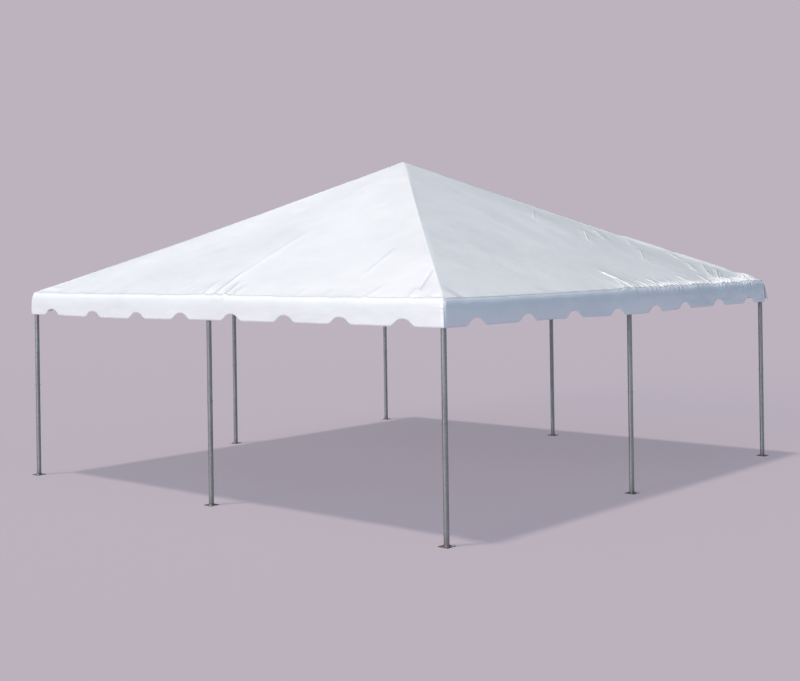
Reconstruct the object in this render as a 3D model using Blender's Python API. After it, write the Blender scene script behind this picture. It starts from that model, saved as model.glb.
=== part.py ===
"""Frame marquee tent, two bays by two, with a pyramid roof and a scalloped valance.

Eight two-piece legs stand on base plates. Fittings on the legs carry the eave tubes and the
rafters, which meet at a crown. Four roof panels lie over the rafters and wrap the eave tubes,
and a valance hangs below each eave. Units are metres, +Z is up, and the origin is on the
ground under the crown. The front looks along -Y and the right side along +X.
"""

import math

import bmesh
import bpy
from mathutils import Matrix, Vector

# Driving dimensions
BAY = 3.048
EAVE_AXIS_Z = 2.095
CROWN_AXIS_Z = 3.571
TUBE_RADIUS = 0.0254
TUBE_WALL = 0.0017
SOCKET_WALL = 0.0048
VALANCE_DROP = 0.245
SCALLOP_PITCH = BAY / 4

# Clearances and resolution
GAP = 0.0003
WELD = 0.00003
ROUND_SIDES = 16
HOLE_SIDES = 10
KNUCKLE_RINGS = 8
ARC_STEPS = 6
BOW_STEPS = 6

# Legs and base plates
PLATE_SIDE = 0.110
PLATE_THICK = 0.006
PLATE_HOLE_RADIUS = 0.009
PLATE_HOLE_OFFSET = 0.0395
LEG_JOINT_Z = 1.048
COLLAR_HEIGHT = 0.012
COLLAR_RADIUS = 0.0295
SPIGOT_LENGTH = 0.150
SPIGOT_RADIUS = TUBE_RADIUS - TUBE_WALL - GAP

# Fittings
SOCKET_RADIUS = TUBE_RADIUS + GAP + SOCKET_WALL
BORE_RADIUS = TUBE_RADIUS + GAP
KNUCKLE_RADIUS = SOCKET_RADIUS + 0.003
ARM_LENGTH = 0.150
SEAT_DEPTH = 0.040
HIP_ARM_LENGTH = 0.200
HIP_SEAT_DEPTH = 0.075
CROWN_ARM_START = 0.105
CROWN_ARM_LENGTH = 0.250
CROWN_SEAT_DEPTH = 0.125
CROWN_HUB_RADIUS = 0.115
CROWN_HUB_BELOW = 0.098
CROWN_DOME_STEPS = 5

# Rafters, which bow a little under the pull of the cover
RAFTER_BOW = 0.018
BOW_START = 0.240
BOW_END = BAY - 0.160

# Cover
SHEET_THICK = 0.003
SHEET_REST = 0.0083
WRAP_RADIUS = KNUCKLE_RADIUS + GAP
RIM_DROP = 0.020
PEAK_BLEND = 0.045
PEAK_TIP = 0.002
SEAM_GAP = 0.0002
VALANCE_CORNER_GAP = 0.004
NOTCH_WIDTH = 0.300
NOTCH_HEIGHT = 0.070
NOTCH_FLARE = 0.050

ROOF_SLOPE = math.atan2(CROWN_AXIS_Z - EAVE_AXIS_Z, BAY)
COVER_LIFT = WRAP_RADIUS / math.cos(ROOF_SLOPE)
CROWN_POINT = Vector((0.0, 0.0, CROWN_AXIS_Z))
DOWN = Vector((0.0, 0.0, -1.0))

CORNERS = {
    "front_left": (-1, -1),
    "front_right": (1, -1),
    "back_right": (1, 1),
    "back_left": (-1, 1),
}
SIDES = {"front": (0, -1), "right": (1, 0), "back": (0, 1), "left": (-1, 0)}


def make_material(name, colour, metallic, roughness):
    """A plain Principled BSDF finish."""
    material = bpy.data.materials.new(name)
    material.use_nodes = True
    shader = material.node_tree.nodes["Principled BSDF"]
    shader.inputs["Base Color"].default_value = (*colour, 1.0)
    shader.inputs["Metallic"].default_value = metallic
    shader.inputs["Roughness"].default_value = roughness
    return material


def add_object(name, shape, material):
    """Turns a bmesh into a named object with its faces pointing out."""
    bmesh.ops.recalc_face_normals(shape, faces=shape.faces)
    mesh = bpy.data.meshes.new(name)
    shape.to_mesh(mesh)
    shape.free()
    mesh.materials.append(material)
    made = bpy.data.objects.new(name, mesh)
    bpy.context.scene.collection.objects.link(made)
    return made


def smooth(made, angle=math.radians(40)):
    """Smooth shading on round pieces, with their rims kept sharp."""
    made.data.shade_smooth()
    made.data.set_sharp_from_angle(angle=angle)
    return made


def along(start, direction):
    """A matrix that puts +Z along a direction, with its origin at start."""
    turn = direction.to_track_quat("Z", "Y").to_matrix().to_4x4()
    return Matrix.Translation(start) @ turn


def turned_ring(profile, sides=ROUND_SIDES):
    """A closed profile of (radius, height) points, turned about Z. It never meets the axis."""
    shape = bmesh.new()
    rings = []
    for radius, height in profile:
        ring = []
        for k in range(sides):
            angle = 2 * math.pi * k / sides
            ring.append(
                shape.verts.new((radius * math.cos(angle), radius * math.sin(angle), height))
            )
        rings.append(ring)
    for i, ring in enumerate(rings):
        following = rings[(i + 1) % len(rings)]
        for k in range(sides):
            nxt = (k + 1) % sides
            shape.faces.new((ring[k], ring[nxt], following[nxt], following[k]))
    return shape


def solid_cylinder(radius, start, end, sides=ROUND_SIDES):
    """A capped cylinder along Z between two heights."""
    shape = bmesh.new()
    bmesh.ops.create_cone(
        shape,
        cap_ends=True,
        segments=sides,
        radius1=radius,
        radius2=radius,
        depth=end - start,
        matrix=Matrix.Translation((0, 0, (start + end) / 2)),
    )
    return shape


def combine(target, tool, operation):
    """Joins or cuts the target with the tool by an exact Boolean, then removes the tool."""
    change = target.modifiers.new(operation.title(), "BOOLEAN")
    change.operation = operation
    change.object = tool
    change.solver = "EXACT"
    bpy.context.view_layer.update()
    graph = bpy.context.evaluated_depsgraph_get()
    result = bpy.data.meshes.new_from_object(target.evaluated_get(graph))
    target.modifiers.clear()
    shape = bmesh.new()
    shape.from_mesh(result)
    bmesh.ops.remove_doubles(shape, verts=shape.verts, dist=WELD)
    bmesh.ops.dissolve_degenerate(shape, edges=shape.edges, dist=WELD)
    shape.to_mesh(result)
    shape.free()
    old = target.data
    target.data = result
    bpy.data.meshes.remove(old)
    bpy.data.objects.remove(tool)


def tube(name, start, end, material):
    """A straight open tube between two points."""
    axis = end - start
    outer, inner = TUBE_RADIUS, TUBE_RADIUS - TUBE_WALL
    length = axis.length
    profile = [(outer, 0), (outer, length), (inner, length), (inner, 0)]
    made = add_object(name, turned_ring(profile), material)
    made.matrix_world = along(start, axis.normalized())
    return smooth(made)


def bow_share(s):
    """How much of the full bow there is where the larger of |x| and |y| is s. It is none in
    the sockets at either end, with no kink there, and all of it half way up the slope."""
    share = min(max((s - BOW_START) / (BOW_END - BOW_START), 0.0), 1.0)
    return math.sin(math.pi * share) ** 2


def bow_places():
    """The values of s where a bowed piece has its rings or points."""
    return [BOW_START + (BOW_END - BOW_START) * k / BOW_STEPS for k in range(BOW_STEPS + 1)]


def bowed_tube(name, corner, start, end, material):
    """An open tube on the line from a corner or side of the eave up to the crown, bowed down.
    Start and end are where it begins and stops, as values of s."""
    eave = eave_point(corner)
    turn = (CROWN_POINT - eave).to_track_quat("Z", "Y").to_matrix()
    outer_rings, inner_rings = [], []
    shape = bmesh.new()
    for s in [start, *reversed(bow_places()), end]:
        centre = eave.lerp(CROWN_POINT, 1 - s / BAY) + DOWN * RAFTER_BOW * bow_share(s)
        for radius, rings in ((TUBE_RADIUS, outer_rings), (TUBE_RADIUS - TUBE_WALL, inner_rings)):
            ring = []
            for k in range(ROUND_SIDES):
                angle = 2 * math.pi * k / ROUND_SIDES
                spoke = Vector((radius * math.cos(angle), radius * math.sin(angle), 0))
                ring.append(shape.verts.new(centre + turn @ spoke))
            rings.append(ring)
    loop = outer_rings + inner_rings[::-1]
    for i, ring in enumerate(loop):
        following = loop[(i + 1) % len(loop)]
        for k in range(ROUND_SIDES):
            nxt = (k + 1) % ROUND_SIDES
            shape.faces.new((ring[k], ring[nxt], following[nxt], following[k]))
    return smooth(add_object(name, shape, material))


def socket_fitting(name, centre, arms, body, material, arm_start=0.0):
    """A body with hollow sockets: each arm is (direction, outer length, seat depth)."""
    made = add_object(name, body, material)
    made.location = centre
    for direction, length, _ in arms:
        shape = solid_cylinder(SOCKET_RADIUS, arm_start, length)
        arm = add_object(name + "_arm", shape, material)
        arm.matrix_world = along(centre, direction)
        combine(made, arm, "UNION")
    for direction, length, seat in arms:
        past = length + SEAT_DEPTH
        bore = add_object(name + "_bore", solid_cylinder(BORE_RADIUS, seat, past), material)
        bore.matrix_world = along(centre, direction)
        combine(made, bore, "DIFFERENCE")
    return smooth(made)


def turned_copy(source, name, place, start_place):
    """A copy of a piece, carried round the Z axis from one corner or side to another."""
    made = bpy.data.objects.new(name, source.data.copy())
    bpy.context.scene.collection.objects.link(made)
    angle = math.atan2(place[1], place[0]) - math.atan2(start_place[1], start_place[0])
    made.matrix_world = Matrix.Rotation(angle, 4, "Z") @ source.matrix_world
    return made


def knuckle():
    """The ball where the arms of an eave fitting meet."""
    shape = bmesh.new()
    bmesh.ops.create_uvsphere(
        shape, u_segments=ROUND_SIDES, v_segments=KNUCKLE_RINGS, radius=KNUCKLE_RADIUS
    )
    return shape


def rafter_direction(place):
    """The way a rafter rises from an eave fitting towards the crown."""
    return (CROWN_POINT - eave_point(place)).normalized()


def eave_point(place):
    """The centre of the fitting on top of the leg at a corner or side."""
    return Vector((place[0] * BAY, place[1] * BAY, EAVE_AXIS_Z))


def leg_foot(name, steel):
    """A square base plate with a stake hole in each corner."""
    shape = bmesh.new()
    size = Matrix.Diagonal((PLATE_SIDE, PLATE_SIDE, PLATE_THICK, 1))
    centre = Matrix.Translation((0, 0, PLATE_THICK / 2))
    bmesh.ops.create_cube(shape, size=1.0, matrix=centre @ size)
    plate = add_object(name, shape, steel)
    for sx, sy in CORNERS.values():
        shape = solid_cylinder(PLATE_HOLE_RADIUS, -PLATE_THICK, 2 * PLATE_THICK, HOLE_SIDES)
        hole = add_object(name + "_hole", shape, steel)
        hole.location = (sx * PLATE_HOLE_OFFSET, sy * PLATE_HOLE_OFFSET, 0)
        combine(plate, hole, "DIFFERENCE")
    return plate


def add_legs(steel):
    """A lower tube welded to its base plate, with a stop collar and a spigot on top, and an
    upper tube that slips over the spigot."""
    outer, inner = TUBE_RADIUS, TUBE_RADIUS - TUBE_WALL
    bore = SPIGOT_RADIUS - TUBE_WALL
    buried = PLATE_THICK / 2
    collar_low, collar_high = LEG_JOINT_Z - COLLAR_HEIGHT / 2, LEG_JOINT_Z + COLLAR_HEIGHT / 2
    neck = LEG_JOINT_Z - SPIGOT_LENGTH
    lower = [
        (outer, buried),
        (outer, collar_low),
        (COLLAR_RADIUS, collar_low),
        (COLLAR_RADIUS, collar_high),
        (SPIGOT_RADIUS, collar_high),
        (SPIGOT_RADIUS, LEG_JOINT_Z + SPIGOT_LENGTH),
        (bore, LEG_JOINT_Z + SPIGOT_LENGTH),
        (bore, neck),
        (inner, neck),
        (inner, buried),
    ]
    top = EAVE_AXIS_Z - SEAT_DEPTH - GAP
    for label, (x, y) in {**CORNERS, **SIDES}.items():
        leg = leg_foot(f"leg_lower_{label}", steel)
        pole = add_object(f"leg_lower_{label}_pole", turned_ring(lower), steel)
        combine(leg, pole, "UNION")
        leg.location = (x * BAY, y * BAY, 0)
        smooth(leg)
        ground = Vector((x * BAY, y * BAY, 0))
        tube(
            f"leg_upper_{label}",
            ground + Vector((0, 0, collar_high + GAP)),
            ground + Vector((0, 0, top)),
            steel,
        )


def add_eave_fittings(cast):
    """Three-way corners with a hip socket, and side tees with a rafter socket."""
    start = CORNERS["front_left"]
    arms = [
        (DOWN, ARM_LENGTH, SEAT_DEPTH),
        (Vector((-start[0], 0, 0)), ARM_LENGTH, SEAT_DEPTH),
        (Vector((0, -start[1], 0)), ARM_LENGTH, SEAT_DEPTH),
        (rafter_direction(start), HIP_ARM_LENGTH, HIP_SEAT_DEPTH),
    ]
    corner = socket_fitting("corner_fitting_front_left", eave_point(start), arms, knuckle(), cast)
    bpy.context.view_layer.update()
    for label, place in list(CORNERS.items())[1:]:
        turned_copy(corner, f"corner_fitting_{label}", place, start)

    start = SIDES["front"]
    arms = [
        (DOWN, ARM_LENGTH, SEAT_DEPTH),
        (Vector((1, 0, 0)), ARM_LENGTH, SEAT_DEPTH),
        (Vector((-1, 0, 0)), ARM_LENGTH, SEAT_DEPTH),
        (rafter_direction(start), ARM_LENGTH, SEAT_DEPTH),
    ]
    tee = socket_fitting("side_fitting_front", eave_point(start), arms, knuckle(), cast)
    bpy.context.view_layer.update()
    for label, place in list(SIDES.items())[1:]:
        turned_copy(tee, f"side_fitting_{label}", place, start)


def under_cover(s):
    """Height of the cover's underside where the larger of |x| and |y| is s. The slope runs
    straight down to the eave, dips to lie on the bowed rafters between their sockets, and
    rounds off over the crown as an arc tangent to it."""
    slope = (CROWN_AXIS_Z - EAVE_AXIS_Z) / BAY
    peak = CROWN_AXIS_Z + COVER_LIFT
    if s >= PEAK_BLEND:
        return peak - slope * s - (RAFTER_BOW + SHEET_REST) * bow_share(s)
    radius = PEAK_BLEND / math.sin(ROOF_SLOPE)
    centre = peak - slope * PEAK_BLEND - radius * math.cos(ROOF_SLOPE)
    return centre + math.sqrt(radius**2 - s**2)


def add_crown(cast):
    """An eight-way hub with a dome that carries the peak of the cover."""
    shape = bmesh.new()
    bottom = -CROWN_HUB_BELOW
    profile = [(CROWN_HUB_RADIUS, bottom)]
    for k in range(CROWN_DOME_STEPS):
        radius = CROWN_HUB_RADIUS * (1 - k / CROWN_DOME_STEPS)
        profile.append((radius, under_cover(radius) - CROWN_AXIS_Z - 3 * GAP))
    tip = shape.verts.new((0, 0, under_cover(0) - CROWN_AXIS_Z - 3 * GAP))
    rings = []
    sides = 2 * ROUND_SIDES
    for radius, height in profile:
        angles = [2 * math.pi * (k + 0.5) / sides for k in range(sides)]
        rings.append(
            [shape.verts.new((radius * math.cos(a), radius * math.sin(a), height)) for a in angles]
        )
    shape.faces.new(rings[0])
    for k in range(sides):
        nxt = (k + 1) % sides
        for low, high in zip(rings, rings[1:]):
            shape.faces.new((low[k], low[nxt], high[nxt], high[k]))
        shape.faces.new((rings[-1][k], rings[-1][nxt], tip))
    arms = []
    for place in [*CORNERS.values(), *SIDES.values()]:
        arms.append((-rafter_direction(place), CROWN_ARM_LENGTH, CROWN_SEAT_DEPTH))
    socket_fitting("crown_fitting", CROWN_POINT, arms, shape, cast, CROWN_ARM_START)


def add_eave_tubes(steel):
    """Two tubes along each side, between the corner fittings and the side tee."""
    order = ["front_left", "front", "front_right", "right", "back_right", "back", "back_left", "left"]
    places = {**CORNERS, **SIDES}
    for i, label in enumerate(order):
        following = order[(i + 1) % len(order)]
        start, end = eave_point(places[label]), eave_point(places[following])
        inset = (end - start).normalized() * (SEAT_DEPTH + GAP)
        side = following if label in CORNERS else label
        half = 1 if label in CORNERS else 2
        tube(f"eave_tube_{side}_{half}", start + inset, end - inset, steel)


def add_rafters(steel):
    """Four hip rafters from the corners and four side rafters from the tees."""
    for kind, places, seat in (("hip", CORNERS, HIP_SEAT_DEPTH), ("side", SIDES, SEAT_DEPTH)):
        for label, place in places.items():
            plan = BAY / (CROWN_POINT - eave_point(place)).length
            start = BAY - (seat + GAP) * plan
            end = (CROWN_SEAT_DEPTH + GAP) * plan
            bowed_tube(f"{kind}_rafter_{label}", place, start, end, steel)


def cover_section():
    """The closed section of a roof panel as (s, z): along the top from the peak, round the
    eave and down the rim, then back along the underside. The top is the underside moved out
    by the sheet's thickness, square to it."""
    wrap = WRAP_RADIUS
    peak_radius = PEAK_BLEND / math.sin(ROOF_SLOPE)
    peak_centre = under_cover(PEAK_BLEND) - peak_radius * math.cos(ROOF_SLOPE)

    def skin(offset):
        points = []
        radius = peak_radius + offset
        first = math.asin(PEAK_TIP / radius)
        for k in range(ARC_STEPS + 1):
            angle = first + (ROOF_SLOPE - first) * k / ARC_STEPS
            points.append((radius * math.sin(angle), peak_centre + radius * math.cos(angle)))
        for place in bow_places():
            across, up = offset * math.sin(ROOF_SLOPE), offset * math.cos(ROOF_SLOPE)
            points.append((place + across, under_cover(place) + up))
        for k in range(ARC_STEPS + 1):
            angle = ROOF_SLOPE + (math.pi / 2 - ROOF_SLOPE) * k / ARC_STEPS
            reach = wrap + offset
            points.append((BAY + reach * math.sin(angle), EAVE_AXIS_Z + reach * math.cos(angle)))
        points.append((BAY + wrap + offset, EAVE_AXIS_Z - RIM_DROP))
        return points

    return skin(SHEET_THICK) + skin(0.0)[::-1]


def side_turn(place):
    """The rotation about Z that carries the front side onto another side."""
    return Matrix.Rotation(math.atan2(place[0], -place[1]), 4, "Z")


def add_roof_panels(vinyl):
    """Each panel is the section mitred at the hips: its half width grows with s."""
    section = cover_section()
    for label, place in SIDES.items():
        shape = bmesh.new()
        left = [shape.verts.new((-(s - SEAM_GAP), -s, z)) for s, z in section]
        right = [shape.verts.new((s - SEAM_GAP, -s, z)) for s, z in section]
        count = len(section)
        for i in range(count):
            nxt = (i + 1) % count
            shape.faces.new((left[i], left[nxt], right[nxt], right[i]))
        half = count // 2
        for edge in (left, right):
            for i in range(half - 1):
                shape.faces.new((edge[i], edge[i + 1], edge[count - 2 - i], edge[count - 1 - i]))
        panel = add_object(f"roof_panel_{label}", shape, vinyl)
        panel.matrix_world = side_turn(place)
        smooth(panel, math.radians(20))


def notch_height(u):
    """Height of a scallop notch at u metres from its middle: a round arch whose foot flares."""
    half = NOTCH_WIDTH / 2
    if abs(u) >= half:
        return 0.0
    crown = half - NOTCH_FLARE
    if abs(u) <= crown:
        fall = NOTCH_HEIGHT * 0.62
        return NOTCH_HEIGHT - fall * (1 - math.sqrt(1 - (abs(u) / crown) ** 2 * 0.75)) / 0.5
    share = (half - abs(u)) / NOTCH_FLARE
    return NOTCH_HEIGHT * 0.38 * share**1.4


def add_valances(vinyl):
    """Hanging strips along each eave, with eight scallop notches in the lower edge."""
    inner = BAY + WRAP_RADIUS
    top = EAVE_AXIS_Z - RIM_DROP - GAP
    bottom = EAVE_AXIS_Z + COVER_LIFT / 2 - VALANCE_DROP
    half = inner + SHEET_THICK - VALANCE_CORNER_GAP
    steps = 6
    lower = [-half]
    notches = 8
    for k in range(notches):
        middle = (k - (notches - 1) / 2) * SCALLOP_PITCH
        crown = NOTCH_WIDTH / 2 - NOTCH_FLARE
        lower.append(middle - NOTCH_WIDTH / 2)
        lower.extend(middle - crown + 2 * crown * i / steps for i in range(steps + 1))
        lower.append(middle + NOTCH_WIDTH / 2)
    lower.append(half)

    def edge_height(x):
        near = min(abs(x - (k - (notches - 1) / 2) * SCALLOP_PITCH) for k in range(notches))
        return bottom + notch_height(near)

    for label, place in SIDES.items():
        shape = bmesh.new()
        faces = []
        for y in (-inner, -inner - SHEET_THICK):
            low = [shape.verts.new((x, y, edge_height(x))) for x in lower]
            high = [shape.verts.new((x, y, top)) for x in lower]
            faces.append((low, high))
        (back_low, back_high), (front_low, front_high) = faces
        last = len(lower) - 1
        for i in range(last):
            shape.faces.new((back_low[i], back_low[i + 1], back_high[i + 1], back_high[i]))
            shape.faces.new((front_low[i], front_low[i + 1], front_high[i + 1], front_high[i]))
            shape.faces.new((back_low[i], back_low[i + 1], front_low[i + 1], front_low[i]))
            shape.faces.new((back_high[i], back_high[i + 1], front_high[i + 1], front_high[i]))
        for i in (0, last):
            shape.faces.new((back_low[i], back_high[i], front_high[i], front_low[i]))
        valance = add_object(f"valance_{label}", shape, vinyl)
        valance.matrix_world = side_turn(place)


def main():
    """Builds the tent from the ground up."""
    for old in list(bpy.data.objects):
        bpy.data.objects.remove(old)
    steel = make_material("galvanised_steel", (0.56, 0.58, 0.60), 0.9, 0.38)
    cast = make_material("cast_fitting", (0.50, 0.52, 0.54), 0.85, 0.5)
    vinyl = make_material("white_vinyl", (0.90, 0.91, 0.93), 0.0, 0.45)
    add_legs(steel)
    add_eave_fittings(cast)
    add_crown(cast)
    add_eave_tubes(steel)
    add_rafters(steel)
    add_roof_panels(vinyl)
    add_valances(vinyl)


main()
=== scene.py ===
"""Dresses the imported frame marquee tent: its cover, valances, fasteners and finishes.

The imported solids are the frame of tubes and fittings, and they give every size here. Over
them goes one continuous vinyl cover with the folds that the photograph shows, and from its
eaves hang four scalloped valances. The fasteners are made at their true size. A plain studio
and a camera at the photograph's viewing angle close the script.

Units are metres and +Z is up. The front side looks along -Y and the right side along +X.
"""

import logging
import math
from dataclasses import dataclass, field
from enum import Enum

import bpy
import numpy as np
from mathutils import Matrix, Vector


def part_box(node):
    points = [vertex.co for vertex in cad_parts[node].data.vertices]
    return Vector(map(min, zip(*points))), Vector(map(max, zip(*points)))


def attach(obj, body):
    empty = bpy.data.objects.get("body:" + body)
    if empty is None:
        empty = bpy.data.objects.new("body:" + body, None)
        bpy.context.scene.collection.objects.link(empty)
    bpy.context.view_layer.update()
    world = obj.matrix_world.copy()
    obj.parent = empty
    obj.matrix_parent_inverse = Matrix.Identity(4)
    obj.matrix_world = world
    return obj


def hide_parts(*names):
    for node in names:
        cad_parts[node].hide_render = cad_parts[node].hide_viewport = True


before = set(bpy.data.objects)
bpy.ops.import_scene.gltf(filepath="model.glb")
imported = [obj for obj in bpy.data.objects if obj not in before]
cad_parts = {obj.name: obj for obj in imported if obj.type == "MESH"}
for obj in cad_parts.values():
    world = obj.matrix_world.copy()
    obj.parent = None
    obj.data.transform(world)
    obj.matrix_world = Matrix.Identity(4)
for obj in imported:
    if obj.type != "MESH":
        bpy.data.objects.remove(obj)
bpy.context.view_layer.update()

Array = np.ndarray
Material = bpy.types.Material
Piece = bpy.types.Object
Socket = bpy.types.NodeSocket
Colour = tuple[float, float, float]

ROOT = "root"
UP = np.array([0.0, 0.0, 1.0])
BLACK = (0.0, 0.0, 0.0)
SOCKET_WALL = 0.0051
PLATE_THICK = 0.006

# Names and plan directions of the four corners
CORNERS = {
    "front_left": (-1.0, -1.0),
    "front_right": (1.0, -1.0),
    "back_right": (1.0, 1.0),
    "back_left": (-1.0, 1.0),
}

# What the vinyl's finish reads at every vertex: the distance across the nearest fold's line
# and the line's strength, how closely the sheet is gathered, the distance from its two-layer
# seams or hems, where the finish paints a highlight, and the distance down from the line where
# the valances are sewn on, along which it paints a thin shade
MARKS = ("line_across", "line_strength", "gathered", "seam", "stitch")

log = logging.getLogger("marquee")
logging.basicConfig(level=logging.INFO, format="%(name)s: %(message)s")


class Side(Enum):
    """The four sides of the tent, each as the plan direction that it faces."""

    FRONT = (0.0, -1.0)
    RIGHT = (1.0, 0.0)
    BACK = (0.0, 1.0)
    LEFT = (-1.0, 0.0)

    @property
    def label(self) -> str:
        """The name that this side has in node names."""
        return self.name.lower()

    @property
    def number(self) -> int:
        """Its place in the order of the sides."""
        return list(Side).index(self)

    @property
    def along(self) -> Array:
        """The unit vector along this side's eave, to the right as seen from outside."""
        return np.array([-self.value[1], self.value[0], 0.0])

    def points(self, along: Array, out: Array, height: Array | float) -> Array:
        """Points from their distances along this side, out from the tent's middle, and up.

        Args:
            along: Distances along the eave.
            out: Distances out.
            height: Heights, or one height for all.

        Returns:
            The points, with a last axis of three.
        """
        made = along[..., None] * self.along + out[..., None] * np.array([*self.value, 0.0])
        made[..., 2] = height
        return made


class Slot(Enum):
    """The record's material slots for steel and vinyl, which nothing in this script reads."""

    STEEL = "galvanised_steel"
    VINYL = "white_vinyl"


@dataclass
class Shape:
    """A surface held as arrays."""

    points: Array  # the vertices, as rows of (x, y, z)
    faces: list[Array]  # blocks of faces, each with one row of vertex numbers a face
    flats: list[Array]  # for each block, the flat coordinates of every face corner

    def moved(self, matrices: Array) -> "Shape":
        """Copies of this shape, one for each matrix, as one shape.

        Args:
            matrices: An array of shape (copies, 4, 4).

        Returns:
            The copies, with their vertices one copy after the other.
        """
        turned_points = np.einsum("kij,nj->kni", matrices[:, :3, :3], self.points)
        points = (turned_points + matrices[:, None, :3, 3]).reshape(-1, 3)
        steps = np.arange(len(matrices))[:, None, None] * len(self.points)
        faces = [(block[None] + steps).reshape(-1, block.shape[1]) for block in self.faces]
        flats = [np.tile(block, (len(matrices), 1, 1)) for block in self.flats]
        return Shape(points, faces, flats)


def joined(shapes: list[Shape]) -> Shape:
    """Several shapes as one.

    Args:
        shapes: The shapes.

    Returns:
        One shape, in which each keeps its own vertices.
    """
    starts = np.cumsum([0] + [len(shape.points) for shape in shapes])
    faces = [block + start for shape, start in zip(shapes, starts) for block in shape.faces]
    flats = [block for shape in shapes for block in shape.flats]
    return Shape(np.concatenate([shape.points for shape in shapes]), faces, flats)


def sheet_grid(points: Array, flat: Array) -> Shape:
    """A grid of points as quads that face the viewer who sees columns run right and rows up.

    Args:
        points: An array of shape (rows, columns, 3).
        flat: The flat coordinates of the same points, of shape (rows, columns, 2).

    Returns:
        The open sheet.
    """
    number = np.arange(points[..., 0].size).reshape(points.shape[:2])
    quads, corners = (
        np.stack([grid[:-1, :-1], grid[:-1, 1:], grid[1:, 1:], grid[1:, :-1]], 2)
        for grid in (number, flat)
    )
    return Shape(points.reshape(-1, 3), [quads.reshape(-1, 4)], [corners.reshape(-1, 4, 2)])


def ring_points(radius: Array, height: Array, sides: int) -> Array:
    """Level rings about Z.

    Each (r, z) becomes the ring (r cos t, r sin t, z), with t in even steps.

    Args:
        radius: The radius of each ring.
        height: The height of each ring.
        sides: How many points go round.

    Returns:
        An array of shape (rings, sides, 3).
    """
    angle = 2 * np.pi * np.arange(sides) / sides
    level = np.repeat(height[:, None], sides, axis=1)
    return np.stack([radius[:, None] * np.cos(angle), radius[:, None] * np.sin(angle), level], -1)


def ring_quads(number: Array) -> Array:
    """Quads between neighbouring rings, from their vertex numbers with one row a ring."""
    right = np.roll(number, -1, axis=1)
    return np.stack([number[:-1], right[:-1], right[1:], number[1:]], -1).reshape(-1, 4)


def fan(ring: Array, tip: int, on_top: bool) -> Array:
    """Triangles between a ring of vertex numbers and one vertex over it or under it."""
    right, tips = np.roll(ring, -1), np.full(len(ring), tip)
    return np.stack([ring, right, tips] if on_top else [tips, right, ring], -1)


def turned(profile: list[tuple[float, float]], sides: int) -> Shape:
    """A solid of revolution about Z, or a prism where the sides are few.

    Args:
        profile: Pairs of radius and height, from the lowest point on the axis, round the
            outside, to the highest point on the axis.
        sides: How many faces go round.

    Returns:
        The closed shape.
    """
    radius, height = np.array(profile).T
    rings = ring_points(radius[1:-1], height[1:-1], sides)
    number = np.arange(rings[..., 0].size).reshape(rings.shape[:2])
    poles = np.array([[0, 0, height[0]], [0, 0, height[-1]]])
    points = np.concatenate([rings.reshape(-1, 3), poles])
    low, high = number.size, number.size + 1
    faces = [ring_quads(number), fan(number[0], low, False), fan(number[-1], high, True)]
    return Shape(points, faces, [points[block][..., :2] for block in faces])


def dome(radius: float, low: float, rise: float, steps: int) -> list[tuple[float, float]]:
    """The profile of a dome that starts upright and ends on the axis.

    With t from 0 to a right angle, a point is (radius cos t, low + rise sin t).

    Args:
        radius: Its radius.
        low: The height of its rim.
        rise: How high it stands over that.
        steps: How many points it has.

    Returns:
        Pairs of radius and height.
    """
    t = np.linspace(0, np.pi / 2, steps)
    made = np.stack([radius * np.cos(t), low + rise * np.sin(t)], axis=-1)
    made[-1, 0] = 0
    return [tuple(point) for point in made]


def bead_ring(radius: float, thickness: float, around: int = 48, across: int = 8) -> Shape:
    """A weld bead lying round a tube: a ring whose thickness ripples a little.

    The centre line is a circle about Z, and the bead's own radius is its thickness times
    1 + 0.12 sin(17 t), where t is the angle round the tube.

    Args:
        radius: Radius of the centre line.
        thickness: Mean radius of the bead.
        around: Steps round the tube.
        across: Steps round the bead.

    Returns:
        The closed ring.
    """
    turn = (2 * np.pi * np.arange(around) / around)[None, :]
    roll = (2 * np.pi * np.arange(across) / across)[:, None]
    swell = thickness * (1 + 0.12 * np.sin(17 * turn))
    reach = radius + swell * np.cos(roll)
    grid = np.stack([reach * np.cos(turn), reach * np.sin(turn), swell * np.sin(roll)], axis=-1)
    points = grid.reshape(-1, 3)
    number = np.arange(across * around).reshape(across, around)
    quads = ring_quads(np.concatenate([number, number[:1]]))
    return Shape(points, [quads], [points[quads][..., :2]])


def frames_at(places: Array, axes: Array) -> Array:
    """Matrices that put a shape's origin at each place with its +Z along each axis."""
    turns = [Vector(axis).to_track_quat("Z", "Y").to_matrix().to_4x4() for axis in axes]
    return np.array([np.array(Matrix.Translation(Vector(p)) @ t) for p, t in zip(places, turns)])


def smooth_step(low: float, high: float, value: Array) -> Array:
    """0 below low, 1 above high, and 3 t^2 - 2 t^3 between them."""
    t = np.clip((value - low) / (high - low), 0.0, 1.0)
    return t * t * (3 - 2 * t)


def plateau(start: float, full: float, falls: float, end: float, value: Array) -> Array:
    """1 from full to falls and 0 outside start to end, with smooth steps between them."""
    return smooth_step(start, full, value) - smooth_step(falls, end, value)


def bell(distance: Array, width: Array | float) -> Array:
    """A bell curve, exp(-d^2) with d the distance over the width."""
    return np.exp(-((distance / width) ** 2))


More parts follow.
